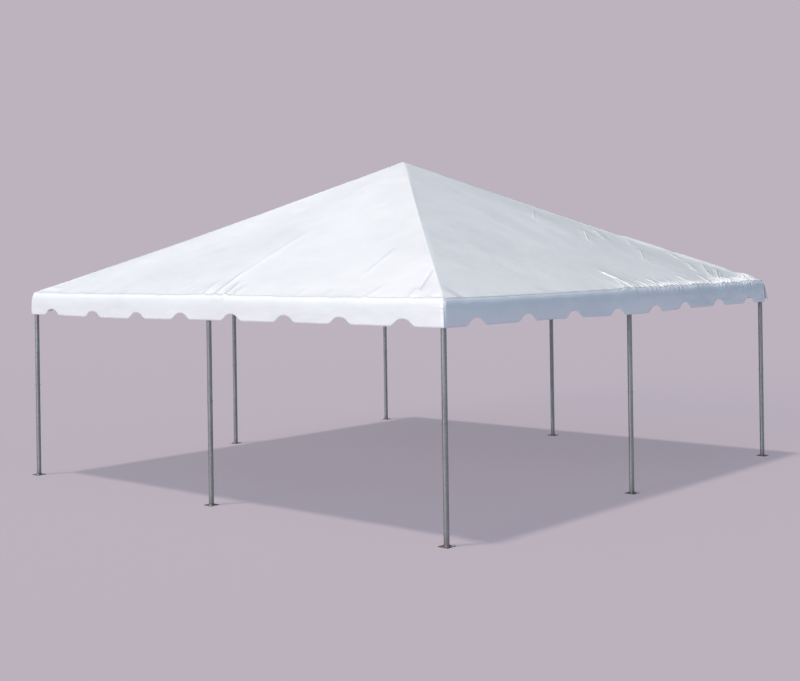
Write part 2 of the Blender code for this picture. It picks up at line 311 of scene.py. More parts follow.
def soft_noise(x: Array, y: Array, seed: int, cells: int = 64) -> Array:
    """Smooth noise: seeded values on a unit lattice, blended between its points.

    Args:
        x: Places across the lattice.
        y: Places up the lattice.
        seed: The seed of its values.
        cells: After how many points it repeats.

    Returns:
        A value from -1 to 1 at each place.
    """
    table = np.random.default_rng(seed).uniform(-1, 1, (cells, cells))
    cell_x, cell_y = np.floor(x).astype(int), np.floor(y).astype(int)
    fx, fy = smooth_step(0, 1, x - cell_x), smooth_step(0, 1, y - cell_y)
    left, right = cell_x % cells, (cell_x + 1) % cells
    here, there = (
        table[left, row] * (1 - fx) + table[right, row] * fx
        for row in (cell_y % cells, (cell_y + 1) % cells)
    )
    return here * (1 - fy) + there * fy


def new_object(name: str, data: bpy.types.ID) -> Piece:
    """Puts a new object into the scene, at the origin.

    Args:
        name: Its name.
        data: Its mesh, lamp or camera.

    Returns:
        The object.
    """
    made = bpy.data.objects.new(name, data)
    bpy.context.scene.collection.objects.link(made)
    return made


def make_piece(
    name: str, shape: Shape, material: Material, sharp: float = 35.0
) -> Piece:
    """Puts a shape into a mesh object that rides on the tent.

    Args:
        name: The piece's name.
        shape: Its surface.
        material: Its finish.
        sharp: Edges that turn by more than this many degrees stay sharp.

    Returns:
        The object, at the origin.
    """
    mesh = bpy.data.meshes.new(name)
    faces = [face for block in shape.faces for face in block.tolist()]
    mesh.from_pydata(shape.points.tolist(), [], faces)
    flats = np.concatenate([block.reshape(-1, 2) for block in shape.flats])
    layer = mesh.uv_layers.new(name="flat")
    layer.data.foreach_set("uv", flats.astype(np.float32).ravel())
    mesh.shade_smooth()
    mesh.set_sharp_from_angle(angle=math.radians(sharp))
    mesh.materials.append(material)
    made = new_object(name, mesh)
    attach(made, ROOT)
    log.info("%s: %d faces", name, len(faces))
    return made


def make_sheet(name: str, shape: Shape, vinyl: Material, marks: Array, thickness: float) -> Piece:
    """Makes a piece of vinyl, with its thickness on the side that it faces.

    Args:
        name: The piece's name.
        shape: Its surface.
        vinyl: Its finish.
        marks: The values of MARKS, with one row a vertex.
        thickness: Its thickness.

    Returns:
        The object, at the origin.
    """
    piece = make_piece(name, shape, vinyl, 60.0)
    for label, column in zip(MARKS, marks.T):
        layer = piece.data.attributes.new(label, "FLOAT", "POINT")
        layer.data.foreach_set("value", column.astype(np.float32))
    wall = piece.modifiers.new("thickness", "SOLIDIFY")
    wall.thickness = thickness
    wall.offset = 1.0
    wall.use_even_offset = False
    return piece


class NodeBoard:
    """The node tree of a finish or of the sky, with short calls for the nodes they share."""

    def __init__(self, owner: bpy.types.ID, shader: str = "Principled BSDF") -> None:
        """Starts from the owner's own tree, which holds its shader and its output.

        Args:
            owner: A material, or the world.
            shader: The name of its shader's node.
        """
        owner.use_nodes = True
        self.tree = owner.node_tree
        self.shader = self.tree.nodes[shader]

    def link(self, source: Socket, target: Socket) -> None:
        """Joins an output to an input."""
        self.tree.links.new(source, target)

    def node(self, kind: str, *sources: object, **values: object) -> bpy.types.Node:
        """Adds a node.

        Args:
            kind: The node's type name.
            *sources: What its first inputs get: an output to link, or a value.
            **values: Properties of the node, or of its inputs where it has no such property.

        Returns:
            The node.
        """
        made = self.tree.nodes.new(kind)
        for key, value in values.items():
            if hasattr(made, key):
                setattr(made, key, value)
            else:
                made.inputs[key.replace("_", " ").title()].default_value = value
        for target, source in zip(made.inputs, sources):
            if isinstance(source, Socket):
                self.link(source, target)
            else:
                target.default_value = source
        return made

    def place(self, scale: tuple[float, float, float] = (1, 1, 1)) -> Socket:
        """Object coordinates, stretched by scale."""
        source = self.node("ShaderNodeTexCoord").outputs["Object"]
        return self.node("ShaderNodeMapping", source, scale=scale).outputs["Vector"]

    def mark(self, name: str) -> Socket:
        """One of the values that the piece holds at its vertices."""
        return self.node("ShaderNodeAttribute", attribute_name=name).outputs["Fac"]

    def noise(self, where: Socket, scale: float, detail: float = 3, rough: float = 0.5) -> Socket:
        """A noise value from 0 to 1 at each place."""
        kind = "ShaderNodeTexNoise"
        return self.node(kind, where, scale=scale, detail=detail, roughness=rough).outputs["Fac"]

    def spread(self, value: Socket, low: float, high: float, to: tuple[float, float]) -> Socket:
        """The value mapped from low..high to a new range, and held inside it."""
        return self.node("ShaderNodeMapRange", value, low, high, *to).outputs["Result"]

    def maths(self, operation: str, first: Socket, second: Socket | float = 0.0) -> Socket:
        """One sum on two values."""
        return self.node("ShaderNodeMath", first, second, operation=operation).outputs[0]

    def size(self, value: Socket) -> Socket:
        """The value without its sign."""
        return self.maths("ABSOLUTE", value)

    def blend(self, share: Socket, first: Socket | Colour, second: Socket | Colour) -> Socket:
        """A colour between two colours.

        Args:
            share: How much of the second colour there is, from 0 to 1.
            first: A colour as (r, g, b), or a socket that gives one.
            second: The same.

        Returns:
            The mixed colour.
        """
        made = self.node("ShaderNodeMix", share, data_type="RGBA")
        for socket, colour in ((made.inputs[6], first), (made.inputs[7], second)):
            if isinstance(colour, tuple):
                socket.default_value = (*colour, 1.0)
            else:
                self.link(colour, socket)
        return made.outputs[2]

    def bump(self, *layers: tuple[Socket, float]) -> None:
        """Puts relief on the shader.

        Args:
            *layers: For each layer, its height from 0 to 1 and its depth in metres.
        """
        normal = None
        for height, depth in layers:
            made = self.node("ShaderNodeBump", strength=1.0, distance=depth)
            self.link(height, made.inputs["Height"])
            if normal is not None:
                self.link(normal, made.inputs["Normal"])
            normal = made.outputs["Normal"]
        self.link(normal, self.shader.inputs["Normal"])

    def feed(self, **sources: Socket) -> None:
        """Links values to the shader's sockets, each named by its socket."""
        for key, source in sources.items():
            self.link(source, self.shader.inputs[key.replace("_", " ").title()])

    def fix(self, **values: float) -> None:
        """Sets the shader's sockets that are the same all over the surface."""
        for key, value in values.items():
            self.shader.inputs[key].default_value = value


@dataclass(frozen=True)
class Finish:
    """A procedural finish, of which each kind says in dress how it looks."""

    name: str

    def dress(self, board: NodeBoard) -> None:
        """Adds the finish's nodes to its board."""
        raise NotImplementedError

    def material(self) -> Material:
        """Makes a new material with this finish.

        Returns:
            The material.
        """
        made = bpy.data.materials.new(self.name)
        self.dress(NodeBoard(made))
        return made


@dataclass(frozen=True)
class WhiteVinyl(Finish):
    """Coated white vinyl: smooth, faintly clouded, with a fine scrim and listed creases."""

    name: str = "white_vinyl"
    clean: Colour = (0.82, 0.83, 0.845)
    dusty: Colour = (0.76, 0.77, 0.785)
    # two-layer vinyl of seams and hems, made lighter also as a painted highlight along the hips and the
    # front valance's lapped end
    double_layer_highlight: Colour = (0.93, 0.935, 0.945)
    grimy: Colour = (0.62, 0.61, 0.6)
    # the sewn line's thread, darkened also as painted shade in the groove where the valances meet the
    # cover
    thread_and_seam_shade: Colour = (0.3, 0.3, 0.31)
    threads_per_metre: float = 420.0

    def dress(self, board: NodeBoard) -> None:
        """Gives the sheet its colour and its gloss, then its relief.

        Args:
            board: The finish's nodes.
        """
        place = board.place()
        wander = board.spread(board.noise(place, 7.0, 2), 0.3, 0.7, (-0.005, 0.005))
        stitch = board.size(board.maths("ADD", board.mark("stitch"), wander))
        self.paint(board, place, stitch)
        gloss = board.noise(place, 5.5, 4, 0.6)
        board.feed(roughness=board.spread(gloss, 0.3, 0.7, (0.3, 0.42)))
        board.fix(**{"Specular IOR Level": 0.5, "Coat Weight": 0.9, "Coat Roughness": 0.15})
        self.raise_relief(board, place, stitch)

    def paint(self, board: NodeBoard, place: Socket, stitch: Socket) -> None:
        """Mixes the colour by slow clouds, two-layer seams lightened also as a painted highlight,
        specks of grime, and the sewn line darkened by its thread and also as painted shade.

        Args:
            board: The finish's nodes.
            place: Object coordinates.
            stitch: The distance from the sewn line.
        """
        clouds = board.spread(board.noise(place, 1.7, 4, 0.55), 0.42, 0.72, (0.0, 0.75))
        # lighter along the hips and hems: two layers of vinyl, and also a painted highlight
        double_layer_highlight = board.spread(board.mark("seam"), 0.006, 0.011, (0.4, 0.0))
        specks = board.spread(board.noise(place, 46, 2), 0.68, 0.8, (0.0, 0.16))
        # a thin darker line where the valances are sewn on: the thread, and also painted shade in the
        # seam's groove
        sewn = board.spread(stitch, 0.003, 0.009, (0.1, 0.0))
        colour = board.blend(clouds, self.clean, self.dusty)
        colour = board.blend(double_layer_highlight, colour, self.double_layer_highlight)
        colour = board.blend(specks, colour, self.grimy)
        board.feed(base_color=board.blend(sewn, colour, self.thread_and_seam_shade))

    def raise_relief(self, board: NodeBoard, place: Socket, stitch: Socket) -> None:
        """Adds crinkles, dents, the folds' lines, gathers, the welt at the eave and the weave.

        Args:
            board: The finish's nodes.
            place: Object coordinates.
            stitch: The distance from the sewn line.
        """
        flat = board.node("ShaderNodeUVMap", uv_map="flat").outputs["UV"]
        rate = 2 * math.pi * self.threads_per_metre / 20
        weave = board.node("ShaderNodeTexWave", flat, bands_direction="DIAGONAL", scale=rate)
        crest = board.spread(board.size(board.mark("line_across")), 0.0, 1.0, (1.0, 0.0))
        teeth = board.size(board.maths("SUBTRACT", board.noise(place, 17, 2), 0.5))
        gathered = board.mark("gathered")
        fullness = board.spread(gathered, 0.0, 1.0, (0.55, 1.3))
        welt = board.spread(stitch, 0.0, 0.017, (1.0, 0.0))
        board.bump(
            (board.noise(board.place((1, 1, 2.2)), 3.2), 0.006),
            (board.noise(place, 14, 5, 0.62), 0.0011),
            (board.maths("MULTIPLY", crest, board.mark("line_strength")), 0.006),
            (board.maths("MULTIPLY", teeth, gathered), 0.035),
            (board.maths("MULTIPLY", welt, fullness), 0.008),
            (weave.outputs["Fac"], 0.00003),
        )


@dataclass(frozen=True)
class GalvanisedSteel(Finish):
    """Zinc-coated tube: grey metal with a soft spangle, streaks along it and dirt at its foot."""

    name: str = "galvanised_steel"
    bright: Colour = (0.42, 0.42, 0.42)
    dull: Colour = (0.27, 0.27, 0.27)
    dirt: Colour = (0.2, 0.17, 0.14)
    roughness: tuple[float, float] = (0.42, 0.52)
    foot_height: float = 0.11
    streak_share: float = 0.82

    def dress(self, board: NodeBoard) -> None:
        """Mixes two zinc tones by spangle and streaks, and darkens the lowest part.

        Args:
            board: The finish's nodes.
        """
        place = board.place()
        spangle = board.node("ShaderNodeTexVoronoi", place, scale=70.0).outputs["Color"]
        flakes = board.node("ShaderNodeSeparateColor", spangle)
        streaks = board.noise(board.place((38, 38, 2.4)), 1.0, 4, 0.6)
        some = board.maths("MULTIPLY", flakes.outputs[0], 1 - self.streak_share)
        mixed = board.maths("ADD", some, board.maths("MULTIPLY", streaks, self.streak_share))
        zinc = board.blend(board.spread(mixed, 0.3, 0.68, (0.0, 1.0)), self.dull, self.bright)
        height = board.node("ShaderNodeSeparateXYZ", place).outputs[2]
        low = board.spread(height, 0.0, self.foot_height, (1.0, 0.0))
        patchy = board.spread(board.noise(place, 42, 4, 0.65), 0.35, 0.65, (0.15, 1.0))
        splashed = board.maths("MULTIPLY", low, patchy)
        board.feed(base_color=board.blend(splashed, zinc, self.dirt))
        board.feed(roughness=board.spread(board.noise(place, 23, 4, 0.6), 0.3, 0.7, self.roughness))
        board.fix(Metallic=1.0)
        board.bump((streaks, 0.00012), (flakes.outputs[1], 0.00004))


@dataclass(frozen=True)
class CastFitting(Finish):
    """Dull, slightly grainy metal of the socket fittings, with rubbed lighter patches."""

    name: str = "cast_fitting"
    dull: Colour = (0.34, 0.35, 0.365)
    rubbed: Colour = (0.56, 0.57, 0.585)
    roughness: tuple[float, float] = (0.6, 0.42)

    def dress(self, board: NodeBoard) -> None:
        """Lightens the metal in patches and gives it a fine grain.

        Args:
            board: The finish's nodes.
        """
        place = board.place()
        patches = board.noise(place, 16, 5, 0.6)
        share = board.spread(patches, 0.48, 0.66, (0.0, 1.0))
        board.feed(base_color=board.blend(share, self.dull, self.rubbed))
        board.feed(roughness=board.spread(patches, 0.3, 0.7, self.roughness))
        board.fix(Metallic=0.85)
        board.bump((board.noise(place, 420, 3, 0.7), 0.00022), (patches, 0.0003))


@dataclass(frozen=True)
class PlatedSteel(Finish):
    """Bright zinc plating on screws, buttons and pins."""

    name: str = "plated_steel"
    bright: Colour = (0.72, 0.73, 0.74)
    worn: Colour = (0.47, 0.46, 0.43)
    roughness: tuple[float, float] = (0.2, 0.36)

    def dress(self, board: NodeBoard) -> None:
        """Dulls the plating in small spots.

        Args:
            board: The finish's nodes.
        """
        spots = board.noise(board.place(), 190, 4, 0.65)
        share = board.spread(spots, 0.45, 0.62, (0.0, 1.0))
        board.feed(base_color=board.blend(share, self.bright, self.worn))
        board.feed(roughness=board.spread(spots, 0.3, 0.7, self.roughness))
        board.fix(Metallic=1.0)
        board.bump((spots, 0.00006))


@dataclass(frozen=True)
class StudioFloor(Finish):
    """The plain pale floor, which goes over into the backdrop's even colour far out."""

    name: str = "studio_floor"
    colour: Colour = (0.503, 0.451, 0.521)  # the backdrop's
    answer: Colour = (0.80, 0.80, 0.795)  # the share of it that the lamps are left to make
    shade: float = 0.5  # how much of the lamps' light the floor takes near the tent
    near: float = 9.0  # radius up to which the lamps light it
    far: float = 22.0  # radius past which it has the backdrop's colour all by itself

    def dress(self, board: NodeBoard) -> None:
        """Matt near the tent, and glowing evenly where the floor meets the backdrop.

        Args:
            board: The finish's nodes.
        """
        reach = board.node("ShaderNodeVectorMath", board.place(), operation="LENGTH")
        lit = board.spread(reach.outputs["Value"], self.near, self.far, (self.shade, 0.0))
        lamps = tuple(colour * share for colour, share in zip(self.colour, self.answer))
        board.feed(base_color=board.blend(lit, BLACK, lamps))
        board.feed(emission_color=board.blend(lit, self.colour, BLACK))
        board.fix(**{"Roughness": 1.0, "Specular IOR Level": 0.0, "Emission Strength": 1.0})


@dataclass(frozen=True)
class Skeleton:
    """The frame's main sizes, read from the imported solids."""

    bay: float  # from the tent's middle to the centre of an outer leg
    eave_z: float  # height of the eave tubes' axes
    slope: float  # the roof's angle to the horizontal, in radians
    tube: float  # radius of the tubes
    valance_low: float  # height of the valances' lowest edge

    @classmethod
    def from_frame(cls) -> "Skeleton":
        """Reads the sizes from the boxes of a leg, an eave tube, a rafter and a valance.

        Returns:
            The sizes. The slope is the one at which the rafter's box takes in its own round
            ends, and a few steps find it.
        """
        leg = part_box("leg_upper_front_right")
        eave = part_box("eave_tube_front_1")
        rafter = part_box("side_rafter_right")
        tube = (eave[1].z - eave[0].z) / 2
        bay = (leg[0].x + leg[1].x) / 2
        run, climb = rafter[1].x - rafter[0].x, rafter[1].z - rafter[0].z
        slope = math.atan2(climb, run)
        for _ in range(8):
            slope = math.atan2(climb - 2 * tube * math.cos(slope), run - 2 * tube * math.sin(slope))
        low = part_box("valance_front")[0].z
        return cls(bay=bay, eave_z=(eave[0].z + eave[1].z) / 2, slope=slope, tube=tube, valance_low=low)

    @property
    def crown_z(self) -> float:
        """Height where the rafters' axes meet."""
        return self.eave_z + self.bay * math.tan(self.slope)


@dataclass(frozen=True)
class Spots:
    """Places on one roof panel, or on its turn round the eave tube."""

    side: Side  # the panel
    a: Array  # distances along the eave to the right, 0 at the side rafter
    s: Array  # plan distances from the crown towards the eave

    @property
    def hip(self) -> Array:
        """The plan distance from the nearest hip."""
        return (self.s - np.abs(self.a)) / math.sqrt(2)


@dataclass(frozen=True)
class Fold:
    """A crease in one roof panel, from one place (a, s) to another, as Spots holds them."""

    side: Side
    start: tuple[float, float]
    end: tuple[float, float]
    height: float  # how far it stands up, or dips where it is negative
    width: float  # its half width
    lean: float  # from -1 to 1, how much one flank rises and the other falls
    open_end: bool = False  # True if it doesn't die away at its end
    line: float = 1.0  # strength of the sharp line along it, negative for a groove

    def where(self, at: Spots) -> tuple[Array, Array]:
        """Where places lie about the fold's line.

        Args:
            at: Places on its panel.

        Returns:
            The distance across the line, and its strength, which fades at its ends.
        """
        run = np.array(self.end) - np.array(self.start)
        length = float(np.hypot(*run))
        ahead = run / length
        da, ds = at.a - self.start[0], at.s - self.start[1]
        t = (da * ahead[0] + ds * ahead[1]) / length
        fade = smooth_step(0.0, 0.3, t)
        if not self.open_end:
            fade = fade * smooth_step(0.0, 0.3, 1 - t)
        return da * ahead[1] - ds * ahead[0], fade

    def lift(self, at: Spots) -> Array:
        """How far the fold moves the cover.

        With d the distance across the fold's line over its width, this is
        height (1 + 2.2 lean d) exp(-d^2) times the fold's strength there.

        Args:
            at: Places on its panel.

        Returns:
            The rise at each place.
        """
        across, strength = self.where(at)
        d = across / self.width
        return self.height * (1 + 2.2 * self.lean * d) * np.exp(-(d**2)) * strength


# The folds that the photograph shows. A row is a fold's fields after its side
PHOTO_FOLDS = {
    Side.FRONT: [
        # The crease along the side rafter, and the puckers beside its foot
        ((0.07, 1.5), (0.03, 2.9), 0.0035, 0.045, 0.3, False, 0.25),
        ((0.02, 2.55), (0.12, 3.12), 0.009, 0.03, 0.35, True),
        ((-0.16, 2.75), (-0.06, 3.1), 0.005, 0.03, 0.3, True, 0.7),
        ((0.2, 2.78), (0.28, 3.12), 0.009, 0.026, -0.3, True, 1.4),
        ((0.34, 2.84), (0.4, 3.12), 0.007, 0.026, 0.3, True, 1.4),
        ((-0.42, 2.86), (-0.33, 3.1), 0.004, 0.03, 0.2, True, 0.4),
        # Creases in the right half
        ((1.69, 1.98), (1.74, 2.72), 0.004, 0.03, 0.6, False, -2.0),
        ((2.5, 2.45), (2.73, 3.02), -0.005, 0.03, 0.4, False, -2.4),
        ((2.2, 2.82), (2.13, 3.1), 0.006, 0.026, 0.5, True),
        ((2.62, 2.86), (2.66, 3.1), 0.005, 0.026, 0.5, True),
        ((1.2, 2.9), (1.29, 3.1), 0.004, 0.03, 0.3, True, 0.5),
        ((1.6, 2.92), (1.66, 3.1), 0.004, 0.03, 0.3, True, 0.5),
        ((-2.64, 2.96), (-2.98, 2.94), 0.005, 0.03, 0.4, True, 0.6),
    ],
    Side.RIGHT: [
        # The bright crease and its branch at the foot of the side rafter
        ((-0.22, 0.9), (-0.08, 2.2), 0.0015, 0.1, -0.2, False, 0.0),
        ((-0.02, 2.66), (0.09, 3.14), 0.013, 0.024, 0.5, True, 1.6),
        ((0.05, 2.84), (-0.14, 3.12), 0.008, 0.022, -0.3, True, 1.2),
        ((0.36, 2.88), (0.45, 3.12), 0.006, 0.03, 0.2, True),
        ((0.6, 2.86), (0.72, 3.12), 0.008, 0.026, 0.2, True, 1.3),
        ((0.98, 2.9), (1.08, 3.1), 0.006, 0.028, 0.2, True),
        ((1.32, 2.84), (1.42, 3.1), 0.007, 0.028, 0.3, True),
        # Wrinkles that leave the back right hip square to it
        ((1.28, 1.68), (0.82, 2.06), 0.009, 0.03, 0.5),
        ((1.52, 1.62), (1.26, 2.02), 0.009, 0.03, 0.5),
        ((0.94, 1.2), (0.55, 1.5), 0.007, 0.032, 0.5, False, 0.7),
        ((1.84, 1.92), (1.6, 2.14), 0.008, 0.03, 0.5),
        ((1.72, 2.16), (1.22, 2.54), 0.008, 0.03, 0.4),
        ((2.18, 2.26), (2.1, 2.5), 0.008, 0.03, 0.5),
        ((2.16, 2.54), (1.94, 2.78), 0.009, 0.03, 0.5),
        ((2.48, 2.56), (2.02, 2.94), 0.009, 0.028, 0.5, False, 1.3),
        ((2.62, 2.68), (2.0, 3.06), 0.009, 0.028, 0.4, False, 1.3),
        ((2.66, 2.76), (3.0, 2.86), 0.006, 0.024, 0.3, False, 1.2),
        ((2.86, 2.9), (2.62, 3.1), 0.008, 0.028, 0.4, True, 1.2),
        ((2.4, 2.86), (2.3, 3.1), 0.007, 0.026, 0.4, True, 1.2),
        ((1.86, 2.84), (1.76, 3.1), 0.007, 0.028, 0.3, True, 1.2),
    ],
}


def hip_fold(side: Side, hand: int, up: float, reach: float, *look: float | bool) -> Fold:
    """A wrinkle that leaves the left hip (hand -1) or the right one (1), square to it."""
    end = (hand * (up - reach), min(up + reach * 0.75, 3.0))
    return Fold(side, (hand * (up - 0.05), up + 0.05), end, *look)


def hidden_folds(seed: int) -> list[Fold]:
    """Folds like those of the photograph, for the back, the left and beside the left hip.

    Args:
        seed: The seed of their places and sizes.

    Returns:
        The folds.
    """
    dice = np.random.default_rng(seed)
    made = []
    for side in (Side.BACK, Side.LEFT):
        for hand in (-1, 1):
            for up in np.arange(1.0, 2.9, 0.31) + dice.uniform(-0.1, 0.1, 7):
                reach, height = dice.uniform(0.25, 0.5), dice.uniform(0.005, 0.009)
                made.append(hip_fold(side, hand, up, reach, height, dice.uniform(0.034, 0.044), 0.5))
        foot = (dice.uniform(-0.12, 0.12), 3.1)
        made.append(Fold(side, (0.02, 1.4), foot, 0.008, 0.04, 0.3, True))
        for a in dice.uniform(-0.7, 0.7, 5):
            made.append(Fold(side, (a * 1.1, 2.7), (a, 3.1), 0.005, 0.04, 0.3, True))
        for a in dice.uniform(-2.6, 2.6, 5):
            made.append(Fold(side, (a * 0.9, 2.3), (a, 2.95), 0.006, 0.04, 0.5))
    for up in np.arange(0.9, 2.9, 0.42):
        reach = dice.uniform(0.18, 0.34)
        made.append(hip_fold(Side.FRONT, -1, up, reach, 0.004, 0.036, 0.5, False, 0.15))
    return made


def round_corner(a: Array, reach: Array, radius: float) -> tuple[Array, Array]:
    """Plan places on a square ring with round corners.

    The last stretch before a corner, as long as the radius, is laid on an arc of that radius
    which meets the diagonal half way round.

    Args:
        a: Distances along the side, on a ring with sharp corners.
        reach: Distances of the ring from the middle.
        radius: Radius of the corners.

    Returns:
        The distances along and out on the round ring.
    """
    inner = reach - radius
    turn = np.clip((np.abs(a) - inner) / radius, 0, 1.6) * np.pi / 4
    along = np.where(turn > 0, inner + radius * np.sin(turn), np.abs(a))
    return np.sign(a) * along, inner + radius * np.cos(turn)


@dataclass
class Cover:
    """The roof: one sheet from the rims of the eaves, round the eave tubes, up to the peak.

    The sheet is a set of square rings about the peak. On a side's part of a ring at s, a
    runs from -s to s between the side's two hips.
    """

    bones: Skeleton  # the frame's sizes
    thickness: float = 0.0009  # of the vinyl
    rest: float = 0.0297  # height of the underside over the plane of the tubes' axes
    fitting_rise: float = 0.0078  # how much higher it lies over the fittings
    eave_sockets: float = 0.12  # how far the eave fittings' sockets reach
    crown_sockets: float = 0.17  # the same for the crown fitting's
    bow: float = 0.018  # how far the rafters bow down half way up
    bow_start: float = 0.24  # where the bow starts, from the crown
    bow_margin: float = 0.16  # how far from the eave it ends
    sag: float = 0.028  # how far the panels hang between the rafters
    near_sag: float = 0.003  # the same for the right panel's near half, which is nearly flat
    far_sag: float = -0.016  # the same for its far half, which billows up a little instead
    sag_start: float = 0.2  # where the sag starts, from the crown
    slow_wrinkle: float = 0.0045  # height of the slow unevenness of the vinyl
    fast_wrinkle: float = 0.0012  # height of its fast unevenness
    tooth: float = 0.007  # height of the close teeth where it is gathered
    gather_fade: float = 0.055  # length up the slope over which the gathers die away
    pucker: float = 0.0008  # height of the short wrinkles at the eave
    leg_pucker: float = 0.003  # how much taller they are over a leg
    pucker_fade: float = 0.16  # length up the slope over which they die away
    tuck_height: float = 0.017  # of the tucks at the right eave
    far_tuck_rise: float = 0.009  # how much taller they are near the far corner
    tuck_reach: float = 0.07  # how far up the slope they go
    far_tuck_reach: float = 0.05  # how much further near the far corner
    tuck_spacing: float = 0.082  # from one to the next
    tuck_seed: int = 3  # of their shake up the slope
    bunch: float = 0.013  # how far the cover is bunched up on the far right hip
    bunch_span: tuple[float, ...] = (1.83, 1.9, 2.74, 2.84)  # where, from the crown
    dent_at: float = 2.28  # where that has its dent
    puff: float = 0.022  # how far it stands up next to that corner
    puff_span: tuple[float, ...] = (2.82, 2.92, 2.98, 3.04)  # where, from the crown
    swell: float = 0.003  # how far it stands clear of the other hips
    contact: float = 0.0006  # how far folds may press it down where it lies on a tube
    contact_width: float = 0.008  # how far from a tube's line it lies on it
    free_fall: float = 0.16  # how much further down it may go for each metre beyond
    rim_drop: float = 0.02  # how far the rim hangs below the eave tubes' axes
    rim_width: float = 0.06  # of the strip from the eave line to the rim
    rim_length: float = 6.15  # of that strip on one side, on average
    peak_blend: float = 0.025  # where the slope goes over into the rounded peak
    hip_band: float = 0.04  # width beside a hip where the columns lie close together
    corner_round: float = 0.03  # radius of the corners in plan, where the cover turns down
    seam_angle: float = math.radians(30)  # where on the turn the valances are sewn on
    line_width: float = 0.014  # half width of the sharp line along a fold
    columns: tuple[int, ...] = (200, 312, 80, 80)  # of each side, in multiples of eight
    halvings: tuple[float, ...] = (1.56, 0.86, 0.42)  # where the columns halve
    roll_steps: int = 7  # rings on the turn round the eave tube
    seed: int = 7  # of its folds and noise
    folds: list[Fold] = field(init=False)

    def __post_init__(self) -> None:
        """Gathers the folds of the photograph and those that it doesn't show."""
        shown = [Fold(side, *row) for side, rows in PHOTO_FOLDS.items() for row in rows]
        self.folds = shown + hidden_folds(self.seed)

    def spots(self, side: Side, s: float, skip: int) -> Spots:
        """Places along one side's part of a ring.

        Eight columns lie at band (k / 8)^1.2 from each hip. Between them the columns' density
        is 1, with a bell over the side rafter and a rise towards the hips, and higher on the
        far half of the right side, where the cover is gathered.

        Args:
            side: The side.
            s: The ring's plan distance from the crown.
            skip: It has every skip-th of the side's columns.

        Returns:
            The places.
        """
        band = min(self.hip_band, 0.35 * s)
        near = band * (np.arange(8) / 8) ** 1.2
        q = np.linspace(-1, 1, 801)
        density = 1 + 0.8 * bell(q, 0.1) + 0.4 * q**6
        if side is Side.RIGHT:
            density = density + 1.1 * smooth_step(0.02, 0.12, q)
        total = np.concatenate([[0], np.cumsum((density[1:] + density[:-1]) / 2)])
        inner = np.interp(np.linspace(0, total[-1], self.columns[side.number] - 15), total, q)
        a = np.concatenate([-s + near, inner * (s - band), (s - near)[::-1]])[::skip]
        return Spots(side, a, np.full_like(a, s))

    def stand_off(self, at: Spots) -> Array:
        """Height of the underside over the axis plane, before sag and folds.

        It is rest + fitting_rise F - bow B, where F is 1 over a fitting and dies away as a
        bell curve beyond its sockets, and B is a squared sine between the rafters' ends.

        Args:
            at: Places on the roof.

        Returns:
            The height at each place.
        """
        bay = self.bones.bay
        beyond = bay - np.minimum(at.s, bay)
        to_side = np.hypot(beyond, at.a)
        to_corner = np.hypot(beyond, bay - np.minimum(np.abs(at.a), bay))
        to_eave = np.minimum(to_side, to_corner) - self.eave_sockets
        near_eave = bell(np.maximum(to_eave, 0), 0.15)
        near_crown = bell(np.maximum(at.s - self.crown_sockets, 0), 0.2)
        rise = self.fitting_rise * np.maximum(near_eave, near_crown)
        low, high = self.bow_start, bay - self.bow_margin
        bow = np.sin(np.pi * np.clip((at.s - low) / (high - low), 0, 1)) ** 2
        return self.rest + rise - self.bow * bow

    def drape(self, at: Spots) -> Array:
        """How far sag, folds and wrinkles move the cover up or down.

        Args:
            at: Places on one panel.

        Returns:
            The sum of the sag, sin(pi q)^2 with q = a / s times a sine up the slope and its
            share s / bay, of the folds, of slow and fast noise, and of short puckers at the
            eave. It is held back where it would go into a tube.
        """
        bay = self.bones.bay
        q = at.a / np.maximum(at.s, 1e-6)
        rise = (at.s - self.sag_start) / (bay - self.sag_start)
        up_slope = np.sin(np.pi * np.clip(rise, 0, 1)) ** 0.8
        sag = self.sag
        if at.side is Side.RIGHT:
            sag = np.where(at.a > 0, self.far_sag, self.near_sag)
        total = -sag * at.s / bay * np.sin(np.pi * q) ** 2 * up_slope
        for fold in self.folds:
            if fold.side is at.side:
                total = total + fold.lift(at)
        place = at.side.points(at.a, at.s, 0.0)
        x, y = place[..., 0], place[..., 1]
        slow = self.slow_wrinkle * soft_noise(x * 1.4 + 9, y * 1.4 + 5, self.seed)
        fast = self.fast_wrinkle * soft_noise(x * 5 + 3, y * 5 + 11, self.seed + 1)
        total = total + smooth_step(0.15, 0.5, at.s) * (slow + fast) + self.puckers(at)
        nearest = np.minimum(np.minimum(at.hip, np.abs(at.a)), np.maximum(bay - at.s, 0))
        floor = -(self.contact + self.free_fall * np.maximum(nearest - self.contact_width, 0))
        return np.maximum(total * smooth_step(0.0, 0.05, at.hip), floor)

    def gathered(self, at: Spots) -> Array:
        """How closely the cover is gathered: at the eave, and most on the right side.

        Args:
            at: Places on one panel.

        Returns:
            A share from 0 to 1 at each place.
        """
        near = np.exp(-np.maximum(self.bones.bay - at.s, 0) / self.gather_fade)
        if at.side is Side.RIGHT:
            return near * (0.12 + 0.88 * smooth_step(0.3, 0.75, at.a))
        to_leg = np.minimum(np.abs(at.a - 0.16), self.bones.bay - np.abs(at.a))
        return near * (0.12 + 0.6 * bell(to_leg, 0.22))

